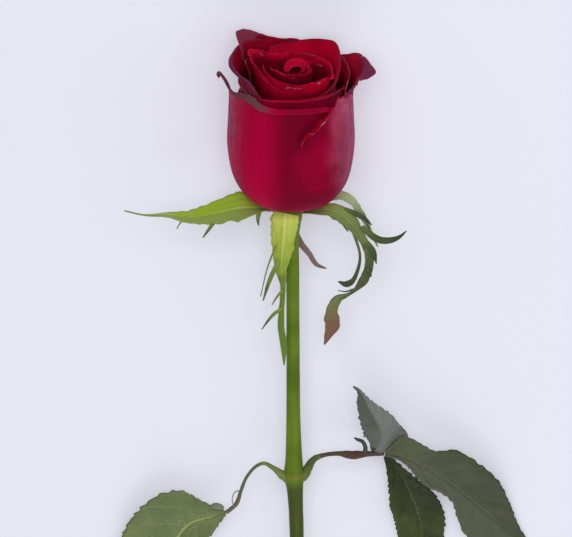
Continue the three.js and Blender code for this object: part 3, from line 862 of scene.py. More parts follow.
@dataclass(frozen=True)
class Petal:
    """One petal round the bloom's axis.

    rim, flare, lip and reach are read from the petal's clockwise side to its other side: the
    rim's height, how far it leans out, how far its edge drops as it rolls over, and how far
    out it rolls. spread is half of the angle that the petal covers at the belly, and crown the
    shares of it that the rim keeps on each side.
    """

    angle: float
    spread: float
    radius: float
    crown: tuple[float, float]
    layer: int
    rim: Numbers
    flare: Numbers
    lip: Numbers = (0, 0, 0)
    reach: Numbers | None = None
    axis: float = BLOOM_X
    ripple: float = 0.15  # how far the rim wanders, in millimetres
    torn: float = LEAST_TEAR  # how deep small tears in the rim are, in millimetres
    torn_to: float = 2.0  # how far across the tears run
    tuck: float = 0.0  # how far the lower clockwise side dips into its neighbour, in millimetres

    def profile(self, across: float) -> tuple[Numbers, Numbers]:
        """Return the radii and the heights from the seat to the rim, at one place across."""
        r = self.radius
        inward = BELLY_RADIUS - r
        foot = 0.3 + 0.42 * inward
        root = CORE_RADIUS * (1 - foot / CORE_HEIGHT) - 1.6
        rise = BELLY_Z + 0.12 * inward
        seed = Vector((0, 0.37 * self.angle, r))
        arc = Vector((2 * across * math.radians(self.spread) * r, 0, 0))
        torn = lerp(self.torn, LEAST_TEAR, smooth(across, self.torn_to - 0.08, self.torn_to))
        tear = noise.noise(arc / 2 + seed) + 0.5 * noise.noise(arc / 0.8 + seed)
        rim = along(self.rim, across) + self.ripple * noise.noise(arc / 6 + seed) + torn * tear
        flare = along(self.flare, across) + self.ripple * noise.noise(arc / 7 - seed)
        lip = max(along(self.lip, across), 0)
        rolled = along(self.reach, across) if self.reach else 0.8 * lip + 0.25 * max(flare, 0)
        rolled = max(rolled + 1.2 * torn * noise.noise(arc / 2.6 - seed), rolled - 0.6)
        radii = (
            root, lerp(root, r, 0.5), lerp(root, r, 0.86), r,
            0.985 * r, 0.962 * r + 0.18 * flare, r + flare, r + flare + rolled,
        )
        heights = (
            foot, lerp(foot, rise, 0.1), lerp(foot, rise, 0.42), lerp(foot, rise, 0.94),
            lerp(rise, rim, 0.42), lerp(rise, rim, 0.78), rim - 0.1 * abs(flare), rim - lip,
        )
        return radii, heights

    def sheet(self) -> Sheet:
        """Return the petal's middle surface."""
        profiles: dict[float, tuple[Numbers, Numbers]] = {}

        def point(u: float, v: float) -> Vector:
            key = round(u, 6)
            if key not in profiles:
                profiles[key] = self.profile(u)
            radii, heights = profiles[key]
            side = 2 * u - 1
            corner = clamp((v - CORNER_START) / (1 - CORNER_START))
            narrowed = lerp(self.crown[int(side > 0)], 1, math.sqrt(max(1 - corner**2.6, 0)))
            turn = math.radians(self.angle + side * self.spread * narrowed * lerp(0.8, 1, smooth(v, 0, 0.3)))
            swell = 0.14 * noise.noise(Vector((7 * turn, 2.2 * v, self.radius)))
            swell += 0.05 * noise.noise(Vector((16 * turn, 1.4 * v, self.radius)))
            distance = along(radii, v) - SPIRAL * side * smooth(v, 0.1, 0.4) + swell * smooth(v, 0.1, 0.5)
            distance -= self.tuck * smooth(-side, 0.3, 1) * (1 - smooth(v, 0.6, 0.8))
            middle = lerp(BLOOM_X, self.axis, smooth(v, 0.1, 0.5))
            return Vector((middle + distance * math.cos(turn), distance * math.sin(turn), along(heights, v)))

        return point


OUTER_PETALS = (
    # The front right petal: its torn front edge climbs slantwise to the right, and its rim rolls
    # out into a pointed corner.
    Petal(
        -6, 76, BELLY_RADIUS, (0.97, 0.62), 0,
        (32, 39.6, 42.8, 46.6, 47.6, 48, 49.3, 52.2, 53.4, 54, 52.4, 51.2, 50.8),
        (0.4, 0.5, 0.4, 0.4, 0.5, 0.8, 1.4, 3.2, 4, 4.2, 3, 2, 0.6),
        (0.4, 0.6, 0.5, 0.4, 0.3, 0.3, 0.9, 1.8, 0.9, 0.1, 0, 0, 0),
        (0.6, 1, 0.8, 0.5, 0.4, 0.5, 1.2, 4.6, 2.8, 1, 0.7, 0.4, 0.2),
        torn=3.0, torn_to=0.56, tuck=1.9,
    ),
    # The front petal: a lip that rolls over and a narrow corner that curls up at the left.
    Petal(
        -118, 72, 22, (0.9, 0.97), 1,
        (49, 51.4, 52.4, 48.6, 47.2, 47.9, 48.3, 48.2, 46, 45.2, 45, 45, 45.1, 45, 44.8, 44.2, 43.4),
        (2.6, 3.2, 2.6, 1, 0.4, 0.3, 0.4, 0.5, 0.6, 0.7, 0.8, 0.8, 0.8, 0.8, 0.7, 0.6, 0.5),
        (0.3, 0.4, 0.4, 0.5, 0.8, 1.2, 1.6, 2.2, 1.8, 1.6, 1.6, 1.6, 1.6, 1.6, 1.5, 1.3, 1.2),
        (0.5, 0.7, 0.6, 0.5, 0.8, 1.1, 1.5, 1.9, 1.7, 1.5, 1.4, 1.3, 1.3, 1.3, 1.2, 1.1, 1),
        torn=0.2,
    ),
    Petal(
        96, 76, 21.3, (0.62, 0.62), 0,
        (49, 52, 52, 45, 36), (1.5, 2.6, 3, 1.6, 0.2), (0.5, 1.6, 2.4, 1.2, 0),
    ),
    Petal(
        45, 62, 20.2, (0.65, 0.65), 1,
        (49, 52, 54, 54, 51), (0.2, 0.6, 1, 1.2, 1), (0, 0.8, 1.2, 0.8, 0),
    ),
    # The tall back petal, pointed at the left.
    Petal(
        98, 62, 19.4, (0.66, 0.66), 2,
        (54, 54.5, 55.5, 56.8, 56.9, 58, 59.7, 61.4, 63),
        (0, 0, 0, 0, 0, 0.4, 1, 1.8, 2.8),
        (0.6, 0.7, 0.8, 0.7, 0.6, 0.4, 0.2, 0.1, 0),
        torn=0.2,
    ),
    # The left petal.
    Petal(
        172, 66, 18.4, (0.68, 0.68), 3,
        (57, 58, 59, 58.3, 56.6, 55.2, 52.9, 51.1, 47.1),
        (0, 0.4, 0.8, 1.4, 2.2, 2.4, 1.4, 0.3, 0.2),
        (0.4, 0.5, 0.8, 0.9, 0.9, 0.8, 0.6, 0.4, 0.2),
        torn=0.15,
    ),
    Petal(
        -62, 66, 19.4, (0.82, 0.9), 3,
        (46.6, 47.3, 47.6, 47.7, 46.4), (0, 0.3, 0.5, 0.5, 0.2), (0.3, 0.6, 0.8, 0.6, 0.3),
    ),
    # The right back petal, round the heart.
    Petal(
        24, 98, 16.6, (0.86, 0.86), 4,
        (45.4, 47, 50, 54.8, 59.2, 59, 57.8, 56.7, 55.4), (-0.4, 0, 0.6, 1.2, 0.4, 0, 0),
        (0, 0.2, 0.4, 0.4, 0.2, 0, 0), torn=0.15,
    ),
    Petal(-122, 74, 17.4, (0.7, 0.9), 4, (48.6, 47, 45.6, 45.4, 46), (0.6, 0.3, 0, 0, 0), (0.4, 0.4, 0.4)),
    Petal(104, 74, 15.2, (0.74, 0.74), 5, (52.6, 53.2, 53.6, 54, 54.6), (0, 0, 0.4, 1, 1.6)),
)

HEART_PETALS = (
    Petal(
        172, 88, 13, (0.64, 0.84), 6,
        (53.4, 54, 55.3, 57.4, 58.4, 56.6, 53.4, 50.4, 47.8), (0, 0.2, 0.5, 1.5, 2, 1, 0.2, 0, -0.4),
        torn=0.8,
    ),
    Petal(
        -12, 106, 12.4, (0.58, 0.58), 8,
        (49.8, 50.6, 51.5, 51, 53.2, 53.4, 49.5), (0, 0.2, 0.5, 0.9, 0.6, 0, 0), (0, 0.5, 0.4),
        axis=HEART_X, torn=1.3,
    ),
    Petal(
        -86, 94, 11.5, (0.92, 0.6), 7,
        (54.2, 52.6, 51, 50.2, 50.2, 50.4, 49), (-0.2, 0.2, 0.2), (0, 0.4, 0.2),
        axis=HEART_X, ripple=0.5,
    ),
    # The wrapped bud: a thin left petal, a low front one and a cap that folds forwards over the rest.
    Petal(
        212, 76, 8.4, (0.6, 0.6), 8, (50.4, 52.8, 53.4, 52.8, 51), (-0.4, 0, -0.3),
        axis=BUD_X, ripple=0.4, torn=0.35,
    ),
    Petal(
        -72, 104, 7.2, (0.7, 0.7), 8, (51, 51.4, 52.2, 52.4, 52.6, 52.8, 51), (-0.3, -0.1, -0.5),
        axis=BUD_X, ripple=0.6,
    ),
    Petal(
        84, 112, 4.9, (0.9, 0.9), 8, (51.6, 53.4, 54.6, 55, 54.8, 53.4, 51.6), (-0.3, -0.2, -0.3),
        (0.6, 1.4, 2, 1.4, 0.6), (-1.5, -3, -4.2, -3, -1.5), axis=HEART_X, ripple=0.5,
    ),
    Petal(
        -30, 90, 4.6, (0.65, 0.65), 8, (50, 52.2, 53.2, 53.2, 51.4), (-0.3, -0.4, -0.3),
        (0, 0.6, 0.3), (-0.4, -1.4, -0.8), axis=HEART_X, ripple=0.6,
    ),
    Petal(
        -140, 80, 3, (0.85, 0.85), 8, (49.6, 50.6, 51, 50.4, 49.8), (-0.3, -0.5, -0.3),
        axis=BUD_X, ripple=0.4,
    ),
    Petal(40, 95, 1.6, (0.85, 0.85), 8, (49, 50, 50, 49), (-0.1, -0.2, -0.1), axis=BUD_X, ripple=0.3),
)

# Outer petals whose faces don't have the common finish, by number.
OUTER_FACES = {2: Coat.PETAL_FRONT, 7: Coat.PETAL_BEHIND, 8: Coat.PETAL_BEHIND}
INNER_FACES = {
    1: Coat.PETAL_TORN, 2: Coat.PETAL_LIP, 5: Coat.PETAL_TALL, 6: Coat.PETAL_HOLLOW_SHADE,
    7: Coat.PETAL_PLAIN, 8: Coat.PETAL_PLAIN,
}

# Each heart petal's outer and inner finish, in order.
HEART_COATS = (
    (Coat.HEART_LEFT_SHADE, Coat.HEART_WALL_SHADE),
    (Coat.HEART_PETAL, Coat.HEART_WALL_SHADE),
    (Coat.HEART_PETAL, Coat.HEART_DEPTH_SHADE),
) + ((Coat.HEART_DEPTH_SHADE, Coat.HEART_DEPTH_SHADE),) * 6


@dataclass
class Bloom:
    """The half-open bloom: outer petals in layers round a closed, spiralling heart."""

    thickness: float = 0.45
    torn_faces: tuple[int, int] = (110, 56)  # the two front petals, for their torn rims
    outer_faces: tuple[int, int] = (48, 48)
    heart_faces: tuple[int, int] = (44, 44)
    bud_faces: tuple[int, int] = (32, 36)
    bud_radius: float = 8.0  # the petals inside this are small

    def grow(self, name: str, petal: Petal, faces: tuple[int, int], coats: tuple[Coat, Coat]) -> None:
        """Make one petal.

        Args:
            name: The piece's name.
            petal: Its form.
            faces: Faces across and along.
            coats: The finishes of its outer and inner face.
        """
        bm = new_bmesh()
        add_sheet(bm, faces, petal.sheet(), lowest=petal.layer * LAYER + self.thickness / 2)
        piece_of(bm, name, "bloom", coats, self.thickness, 1)

    def build(self) -> None:
        """Make every petal, and the seat that they grow from."""
        for number, petal in enumerate(OUTER_PETALS, 1):
            faces = self.torn_faces if number <= 2 else self.outer_faces
            outside = OUTER_FACES.get(number, Coat.PETAL_OUTSIDE)
            inside = INNER_FACES.get(number, Coat.PETAL_INSIDE)
            self.grow(f"petal_{number}", petal, faces, (outside, inside))
        for number, (petal, coats) in enumerate(zip(HEART_PETALS, HEART_COATS), 1):
            faces = self.heart_faces if petal.radius > self.bud_radius else self.bud_faces
            self.grow(f"heart_petal_{number}", petal, faces, coats)
        bm = new_bmesh()
        seat = Route([(BLOOM_X, 0, 0.3), (BLOOM_X, 0, CORE_HEIGHT / 2), (BLOOM_X, 0, CORE_HEIGHT)])
        add_tube(bm, (24, 10), seat, lambda u, v: along((CORE_RADIUS - 1.2, CORE_RADIUS * 0.55, 0.6), v))
        piece_of(bm, "petal_seat", "bloom", (Coat.PETAL_OUTSIDE,))


# ---- Stem ----


@dataclass
class Stem:
    """The stem: the swollen hip under the petals, the joint of the leaves and a slanting cut end."""

    route: Route = Route(
        (
            (-0.9, 0, -0.2), (-0.9, 0, -1.6), (-0.8, 0, -4.2), (-0.6, 0, -7.4), (-0.4, 0, -12),
            (-0.1, 0, -24), (0, 0, -52), (0.1, 0, -80), (0.3, 0, -97), (0.3, 0, JOINT_Z), (0.8, 0, -110),
            (1.4, 0, -126), (1.9, 0, -160), (2.4, 0.1, -198), (2.8, 0.3, STEM_END_Z),
        )
    )
    radii: Numbers = (3.7, 4.3, 4.1, 3.3, 2.55, 2.36, 2.4, 2.55, 3.1, 3.7, 2.85, 2.55, 2.5, 2.5, 2.6)
    faces: tuple[int, int] = (36, 320)
    cut_sides: int = 80  # the most sides that the cut face may have
    slant: Point = (0.5, 0, 0.866)  # square to the cut face
    cut_rise: float = 3.6  # how far above its end the slanting cut crosses the middle

    def radius(self, u: float, v: float) -> float:
        """Return the radius, with faint ribs and an uneven skin."""
        turn = 2 * math.pi * u
        ribs = 0.012 * math.sin(5 * turn + 9 * v) + 0.006 * math.sin(9 * turn - 14 * v)
        skin = 0.02 * noise.noise(Vector((2 * math.cos(turn), 2 * math.sin(turn), 46 * v)))
        return along(self.radii, v) * (1 + ribs + skin)

    def build(self) -> None:
        """Make the stem and its cut face."""
        bm = new_bmesh()
        add_tube(bm, self.faces, self.route, self.radius)
        start = Laying.matrix @ Vector((0, 0, STEM_END_Z + self.cut_rise))
        below = -Laying.aim(Vector(self.slant))
        whole = bm.verts[:] + bm.edges[:] + bm.faces[:]
        bmesh.ops.bisect_plane(bm, geom=whole, plane_co=start, plane_no=below, clear_outer=True)
        rim = [edge for edge in bm.edges if edge.is_boundary]
        for face in bmesh.ops.holes_fill(bm, edges=rim, sides=self.cut_sides)["faces"]:
            face.material_index = 1
        piece = piece_of(bm, "stem_bark", "stem", (Coat.STEM, Coat.PITH))
        for face in piece.data.polygons:
            face.use_smooth = face.material_index == 0


# ---- Fronds: sepals and leaflets ----

# Ways that a blade's upper face may look.
UP = (0, 0, 1)
FRONT = (0, -1, 0)
BACK = (0, 1, 0)
FACING_VIEWER = ((0, -1, 0.2), (0, -1, 0.2))


@dataclass(frozen=True)
class Frond:
    """A blade along a route.

    left and right are its half widths at even stations, facing the way that its upper face looks,
    fold lifts both sides that way by a share of their width, wave ripples them, and teeth saw
    both edges, pointing forwards.
    """

    route: Points
    left: Numbers
    right: Numbers | None = None
    facing: Points = FACING_VIEWER
    fold: float = 0.0
    wave: float = 0.0
    teeth: int = 0
    columns: int = 14
    rows: int = 48
    tooth: float = 0.4  # how deep the teeth are, in millimetres
    tooth_back: float = 0.85  # how much of each tooth its long back edge takes
    toothed_to: float = 0.985  # how far up the teeth run
    finest: float = 0.16  # the least half width, in millimetres
    veins: float = 0.0  # how far the blade puffs up between its veins, in millimetres
    fray: float = 0.0  # how unevenly its edges run, as a share of the half width

    def saw(self, v: float) -> float:
        """Return how far out the saw edge stands there, from -1 in a notch to 1 at a tooth's tip."""
        if not self.teeth or v > self.toothed_to:
            return 0.0
        wander = 0.5 * noise.noise(Vector((7 * v, self.teeth, 0.3)))
        phase = (v * self.teeth + 0.175 + wander) % 1.0
        back = self.tooth_back
        return 2 * phase / back - 1 if phase < back else 1 - 2 * (phase - back) / (1 - back)

    def puff(self, side: float, v: float, half: float) -> float:
        """Return how far the blade puffs up between its side veins, in millimetres."""
        edge = abs(side)
        between = abs(math.sin(math.pi * ((v - VEIN_RUN * edge**VEIN_BOW) * VEIN_PAIRS + 0.2)))
        puffed = self.veins * between**0.6 * smooth(edge, 0, 0.12) * (1 - smooth(edge, 0.85, 1))
        return puffed + 0.5 * noise.noise(Vector((3 * side, 5 * v, half))) * edge

    def sheet(self) -> Sheet:
        """Return the frond's middle surface."""
        route, facing = Route(self.route), Route(self.facing)
        rights = self.right or self.left

        def point(u: float, v: float) -> Vector:
            side = 2 * u - 1
            edge = abs(side)
            ahead = route.heading(v)
            leftward = facing.point(v).cross(ahead).normalized()
            up = ahead.cross(leftward)
            half = max(along(self.left if side < 0 else rights, v), self.finest)
            bitten = max(0, 0.7 + 1.5 * noise.noise(Vector((11 * v, side, half))))
            out = half * edge + min(self.tooth, 0.2 * half) * bitten * self.saw(v) * smooth(edge, 0.6, 1)
            if self.fray:
                frayed = noise.noise(Vector((30 * v, 4 * math.copysign(1, side), half)))
                out *= 1 + self.fray * frayed * smooth(edge, 0.4, 1)
            lift = self.fold * half * edge + self.wave * half * edge * edge * math.sin(17 * v + 2 * side)
            if self.veins:
                lift += self.puff(side, v, half)
            return route.point(v) + leftward * math.copysign(out, -side) + up * lift

        return point


def grow_fronds(
    fronds: Sequence[Frond],
    name: str,
    node: str,
    coat: Coat,
    thickness: float,
    lowest: float,
    levels: int = 0,
) -> None:
    """Make one piece of one or more fronds.

    Args:
        fronds: Their forms.
        name: The piece's name.
        node: The CAD node that it replaces.
        coat: Their finish.
        thickness: Their wall thickness, in millimetres.
        lowest: The least height of their middle surfaces over the table, in millimetres.
        levels: Subdivision levels.
    """
    bm = new_bmesh()
    for frond in fronds:
        add_sheet(bm, (frond.columns, frond.rows), frond.sheet(), lowest=lowest)
    piece_of(bm, name, node, (coat,), thickness, levels)


@dataclass
class Sepal:
    """One sepal with its side lobes."""

    node: str
    coat: Coat
    blade: Frond
    lobes: Sequence[Frond] = ()
    lobe_coat: Coat = Coat.SEPAL_LOBE
    thickness: float = 0.5
    lobe_thickness: float = 0.35

    def build(self) -> None:
        """Make the sepal's blade, and its lobes as a piece of their own."""
        lowest = self.thickness / 2
        name = f"{self.node}_blade"
        grow_fronds([self.blade], name, self.node, self.coat, self.thickness, lowest, 1)
        if self.lobes:
            name, thickness = f"{self.node}_lobes", self.lobe_thickness
            grow_fronds(self.lobes, name, self.node, self.lobe_coat, thickness, lowest, 1)


def lobe(route: Points, left: Numbers, rows: int = 24) -> Frond:
    """Return a small side lobe, six faces across."""
    return Frond(route, left, columns=6, rows=rows, fold=0.25)


SEPALS = (
    Sepal(
        "sepal_left", Coat.SEPAL_LEFT,
        Frond(
            (
                (-4.6, -0.8, -1.5), (-10.4, -1.8, 0), (-18.4, -3, 0.8), (-28.4, -3, -1.1),
                (-37.1, -2, -3), (-45.7, -1.5, -2.5), (-53.3, -1.5, -2.6), (-60.7, -2, -0.7),
            ),
            (2, 3, 4.8, 4, 2.5, 0.8, 0.45, 0.2), (2, 3.4, 5.4, 4, 2.5, 1, 0.45, 0.2),
            (UP, (0, -0.2, 1), (0, -0.8, 0.5), (0, -1, 0.3), (0, -1, 0.2), (0, -1, 0.3), UP, UP),
            fold=0.25, rows=72, fray=0.22,
        ),
        (
            lobe(((-26.6, -3, -1.5), (-29.5, -3.8, -6), (-32.4, -4.2, -10.2)), (0.9, 0.7, 0.2)),
            lobe(((-38.2, -2, -3), (-40.6, -2.3, -5.4), (-41.8, -2.4, -7.5)), (0.45, 0.25, 0.12)),
            lobe(((-12, -3.4, -0.2), (-12.6, -4.2, -2.6), (-12.4, -4.2, -5.6)), (0.9, 0.75, 0.2)),
        ),
        Coat.SEPAL_GREEN_LOBE,
    ),
    Sepal(
        "sepal_front", Coat.SEPAL_FRONT,
        Frond(
            (
                (-2.5, -4.7, -0.6), (-3, -5.6, -3.2), (-3.3, -5.4, -8.6), (-3.8, -4.6, -15.4),
                (-4.3, -3.9, -22), (-3.6, -3.6, -29), (-4, -3.6, -36.2), (-4.3, -3.6, -43.9),
                (-3.4, -3.6, -51.5), (-3.2, -3.9, -59.2),
            ),
            (4.8, 5.1, 4.7, 3.8, 2.3, 1, 1, 1.2, 1.2, 0.25),
            facing=(
                (0, -0.6, 0.8), (0, -0.8, 0.6), (0, -1, 0.2), FRONT, FRONT, FRONT,
                (-0.2, -1, 0), (-0.2, -1, 0), FRONT, FRONT,
            ),
            fold=-0.18, rows=84, fray=0.2,
        ),
        (
            lobe(((-5.6, -4.4, -12), (-9.2, -5.2, -21.4), (-11.7, -4.6, -32.7)), (0.5, 0.25, 0.12), 30),
            lobe(((-5, -4.1, -18.6), (-8.4, -4.8, -26.2), (-10.8, -4.4, -34.3)), (0.8, 0.8, 0.2), 30),
            lobe(((-3.8, -3.6, -30.5), (-6.1, -4, -33.4), (-7.6, -4, -36.1)), (0.5, 0.35, 0.12)),
            lobe(((-4.1, -3.7, -37.4), (-7.6, -4.2, -40.2), (-11.3, -3.8, -45.5)), (0.6, 0.6, 0.15)),
        ),
        Coat.SEPAL_GREEN_LOBE,
    ),
    Sepal(
        "sepal_right", Coat.SEPAL_RIGHT,
        Frond(
            (
                (3.4, -1.8, -1.5), (7.6, -3, -0.6), (14, -4, 0), (19.1, -4.6, -2.9), (23, -4.4, -7.5),
                (26.3, -3.6, -13.6), (27.4, -3, -19.9), (25.6, -2.4, -26.6), (21.2, -2, -32),
                (16.2, -1.6, -34.6), (14, -1.4, -39.3), (14, -1.4, -44.6), (11.3, -1, -52.4),
            ),
            (1.6, 2.6, 3.1, 2.9, 2, 1.5, 1.5, 1.7, 0.55, 1.5, 2.2, 2.6, 0.25),
            facing=(UP, (0, -0.2, 1), (0, -0.6, 0.8), (0.3, -0.9, 0.4), (0.3, -1, 0.2), (0.2, -1, 0))
            + (FRONT,) * 7,
            fold=0.22, rows=110, fray=0.25,
        ),
        (
            lobe(
                ((18.6, -4.8, 1.3), (22.6, -5.4, -0.6), (25.6, -5.4, -2.4), (28.3, -5.4, -5)),
                (0.5, 1, 0.9, 0.15),
            ),
            lobe(
                (
                    (24.6, -5, -5.6), (28.2, -5.2, -8.9), (31.3, -5.4, -10.6),
                    (34.9, -5.4, -10.7), (38.2, -5.3, -9.5), (40.8, -5.2, -7.2),
                ),
                (0.9, 1.25, 1.3, 1.15, 0.7, 0.15), 36,
            ),
            lobe(((15.8, -5, -1.4), (17.8, -5.6, -4.4), (19.8, -5.6, -7.5)), (0.4, 0.35, 0.15)),
            lobe(
                (
                    (21.6, -4.9, -7.4), (24.1, -5.6, -16.7), (22.3, -5.4, -24.8),
                    (19.4, -5, -27.6), (16.2, -4.6, -26.8),
                ),
                (0.6, 0.5, 0.8, 1.2, 0.2), 40,
            ),
            lobe(((21.8, -2.2, -30.6), (19, -2.6, -31.4), (16.2, -2.8, -30.9)), (0.4, 0.25, 0.1)),
            lobe(((26.4, -3.7, -12.2), (28.9, -4, -15.8), (30, -4, -20.3)), (1.1, 1.1, 0.15)),
            lobe(((26.6, -3.4, -22.4), (27.6, -3.6, -24), (27.9, -3.6, -25.4)), (0.7, 0.7, 0.4)),
        ),
    ),
    Sepal(
        "sepal_back_right", Coat.SEPAL_BEHIND,
        Frond(
            (
                (2.6, 3.2, -1.6), (9, 6.6, -0.6), (16.6, 9.4, 1), (21.2, 10.5, -1.5),
                (24.1, 11, -5.9), (27, 11.2, -11.3), (30.6, 11, -19.3),
            ),
            (1.4, 2.5, 2, 1.4, 1.2, 0.8, 0.2),
            facing=(UP, UP, (0, -0.6, 0.8), (0.2, -1, 0.4), (0.2, -1, 0.2), FRONT, FRONT),
            fold=0.2, rows=60, fray=0.2,
        ),
        (lobe(((22.4, 10.8, -3.2), (25.6, 11.2, -7), (27.4, 11, -12.4)), (0.7, 0.5, 0.15)),),
    ),
    Sepal(
        "sepal_back", Coat.SEPAL_BACK,
        Frond(
            (
                (-1.7, 4.6, -2.6), (-1.8, 6.4, -4.2), (-0.7, 7, -11.1), (2.5, 6.4, -15.9),
                (5.8, 6, -20), (8.4, 5.6, -23.9), (12.1, 5, -25.3),
            ),
            (1.5, 2.6, 2.2, 1.3, 1, 0.8, 0.2),
            facing=((0, 0.3, 1), (0, 0.6, 0.8), (0, 1, 0.1), BACK, BACK, BACK, BACK),
            fold=0.2, rows=60, fray=0.2,
        ),
    ),
)


# ---- Leaves ----


def uneven(radii: Numbers) -> Radius:
    """Return the radius along a stalk, a tenth uneven."""

    def radius(u: float, v: float) -> float:
        turn = 2 * math.pi * u
        return along(radii, v) * (1 + 0.1 * noise.noise(Vector((math.cos(turn), math.sin(turn), 18 * v))))

    return radius


@dataclass
class LeafStalk:
    """A leaf stalk, widened where it leaves the stem and where its leaflets grow."""

    node: str
    coat: Coat
    route: Route
    radii: Numbers
    spurs: Sequence[tuple[Route, Numbers]] = ()
    spur_coat: Coat = Coat.STIPULE
    faces: tuple[int, int] = (20, 120)
    spur_faces: tuple[int, int] = (12, 30)

    def build(self) -> None:
        """Make the stalk, with its small outgrowths in their own finish."""
        bm = new_bmesh()
        add_tube(bm, self.faces, self.route, uneven(self.radii))
        for route, radii in self.spurs:
            add_tube(bm, self.spur_faces, route, uneven(radii), 1)
        piece_of(bm, f"{self.node}_bark", self.node, (self.coat, self.spur_coat))


STALKS = (
    LeafStalk(
        "left_petiole", Coat.LEFT_STALK,
        Route(
            (
                (-1.8, -0.4, -103.8), (-3.7, -0.6, -102.8), (-6.6, -1, -100.3), (-10.4, -0.6, -98.3),
                (-14, 0.2, -100.3), (-17.1, 1, -104.9), (-18.9, 1.6, -110), (-20.6, 2.2, -115.1),
                (-24.1, 2.8, -118.6),
            )
        ),
        (2.2, 1.7, 1, 0.7, 0.6, 0.6, 0.66, 0.8, 0.75),
        (
            # A hair that loops out of the stalk and back.
            (
                Route(
                    (
                        (-19, 1.4, -109.6), (-21, 0.4, -109.8), (-22, 0.2, -112.4),
                        (-21.5, 0.8, -115.2), (-20.8, 1.6, -116.2),
                    )
                ),
                (0.22, 0.2, 0.18, 0.18, 0.22),
            ),
            # A leaflet that stayed a bud.
            (
                Route(((-25.2, 2, -116.8), (-26.6, 1.6, -115.9), (-28.4, 1.6, -115.7), (-30, 1.8, -116.4))),
                (0.6, 1.15, 1.2, 0.5),
            ),
        ),
        Coat.LEAF_BUD,
    ),
    LeafStalk(
        "right_petiole", Coat.STALK,
        Route(
            (
                (2.4, 0.4, -104.4), (4.3, 0.6, -102.8), (5.6, 0.8, -100.2), (7.8, 1.2, -97.2),
                (11.7, 1.6, -95.8), (16.6, 2, -95.5), (21.6, 2.4, -96.2), (27, 2.8, -95.9),
                (33, 3.2, -95.9),
            )
        ),
        (2.1, 1.9, 1.6, 1.15, 0.8, 0.9, 1.6, 1.05, 0.8),
        (
            # The hooked stipule.
            (
                Route(
                    (
                        (26, 2.6, -95.8), (26.2, 1.8, -93), (25.2, 1.2, -90.6),
                        (23.6, 1, -89.8), (22.1, 1, -89),
                    )
                ),
                (0.9, 0.8, 0.7, 0.6, 0.25),
            ),
            # The short stalk of the upper leaflet.
            (Route(((27.4, 2.6, -96), (28.4, 2.2, -95.2), (29.4, 1.8, -93.6))), (0.6, 0.5, 0.5)),
        ),
    ),
)


@dataclass
class Leaflet:
    """One toothed leaflet: a thin blade."""

    node: str
    coat: Coat
    blade: Frond
    thickness: float = 0.4

    def build(self) -> None:
        """Make the leaflet."""
        name, lowest = f"{self.node}_blade", self.thickness / 2
        grow_fronds([self.blade], name, self.node, self.coat, self.thickness, lowest)


LEAFLETS = (
    Leaflet(
        "left_leaflet", Coat.LEAF_LEFT,
        Frond(
            (
                (-24.4, 2.8, -118.8), (-31.7, 3.6, -121.1), (-38.2, 4.6, -124.4), (-43.9, 5.8, -133),
                (-49.7, 6.8, -145.3), (-55.4, 7.2, -156.6), (-61.2, 7.2, -167.8),
            ),
            (0.6, 6.6, 9, 10.5, 10, 6.6, 0.2), (0.6, 7.4, 15.8, 18.2, 15.8, 9.6, 0.2),
            fold=0.12, wave=0.05, teeth=27, columns=30, rows=216, veins=0.25, fray=0.03,
        ),
    ),
    Leaflet(
        "right_leaflet_upper", Coat.LEAF_UPPER,
        Frond(
            (
                (29.2, 3, -95.2), (31.4, 4.4, -90.8), (31, 4, -86.5), (28.6, 2.8, -80.8),
                (26, 2, -74.9), (24, 1.4, -71.2), (21.8, 1, -69.2),
            ),
            (0.8, 5.6, 5.7, 4.9, 3.2, 0.8, 0.2), (0.8, 9.6, 7.6, 4.8, 1.6, 0.7, 0.2),
            fold=0.06, wave=0.05, teeth=14, tooth=0.3, columns=26, rows=126, veins=0.2, fray=0.05,
        ),
    ),
    Leaflet(
        "right_leaflet_end", Coat.LEAF_END,
        Frond(
            (
                (33.4, 2, -95.6), (42.5, 0.6, -97.8), (51.5, 2.8, -103.5), (60.5, 5.2, -111),
                (69.1, 7.4, -119.1), (78.1, 9, -128.1), (86.8, 9.6, -136.7),
            ),
            (1.8, 8.4, 7.8, 7.4, 11.2, 12.2, 12.4, 12, 10.5, 7.7, 4.6, 2.6, 0.2),
            (0.7, 0.9, 2.2, 4.6, 5.5, 4.7, 5, 8.4, 11, 11, 8, 4.6, 0.2),
            fold=0.2, wave=0.06, teeth=26, tooth=0.18, columns=30, rows=208, veins=0.25, fray=0.06,
        ),
    ),
    Leaflet(
        "right_leaflet_lower", Coat.LEAF_LOWER,
        Frond(
            (
                (33.6, 4.6, -97.2), (39.2, 6.6, -105.6), (43, 7.4, -113.8), (45.6, 8, -121.5),
                (47.2, 8.4, -129.7), (47.9, 8.6, -138.3), (47.2, 8.8, -147.1),
            ),
            (0.8, 2.9, 7.1, 9.2, 7.6, 5, 0.2), (0.8, 5.6, 8.5, 9, 8.8, 6, 0.2),
            fold=0.15, wave=0.06, teeth=24, tooth=0.35, columns=28, rows=192, veins=0.2, fray=0.04,
        ),
    ),
)


# ---- Studio ----


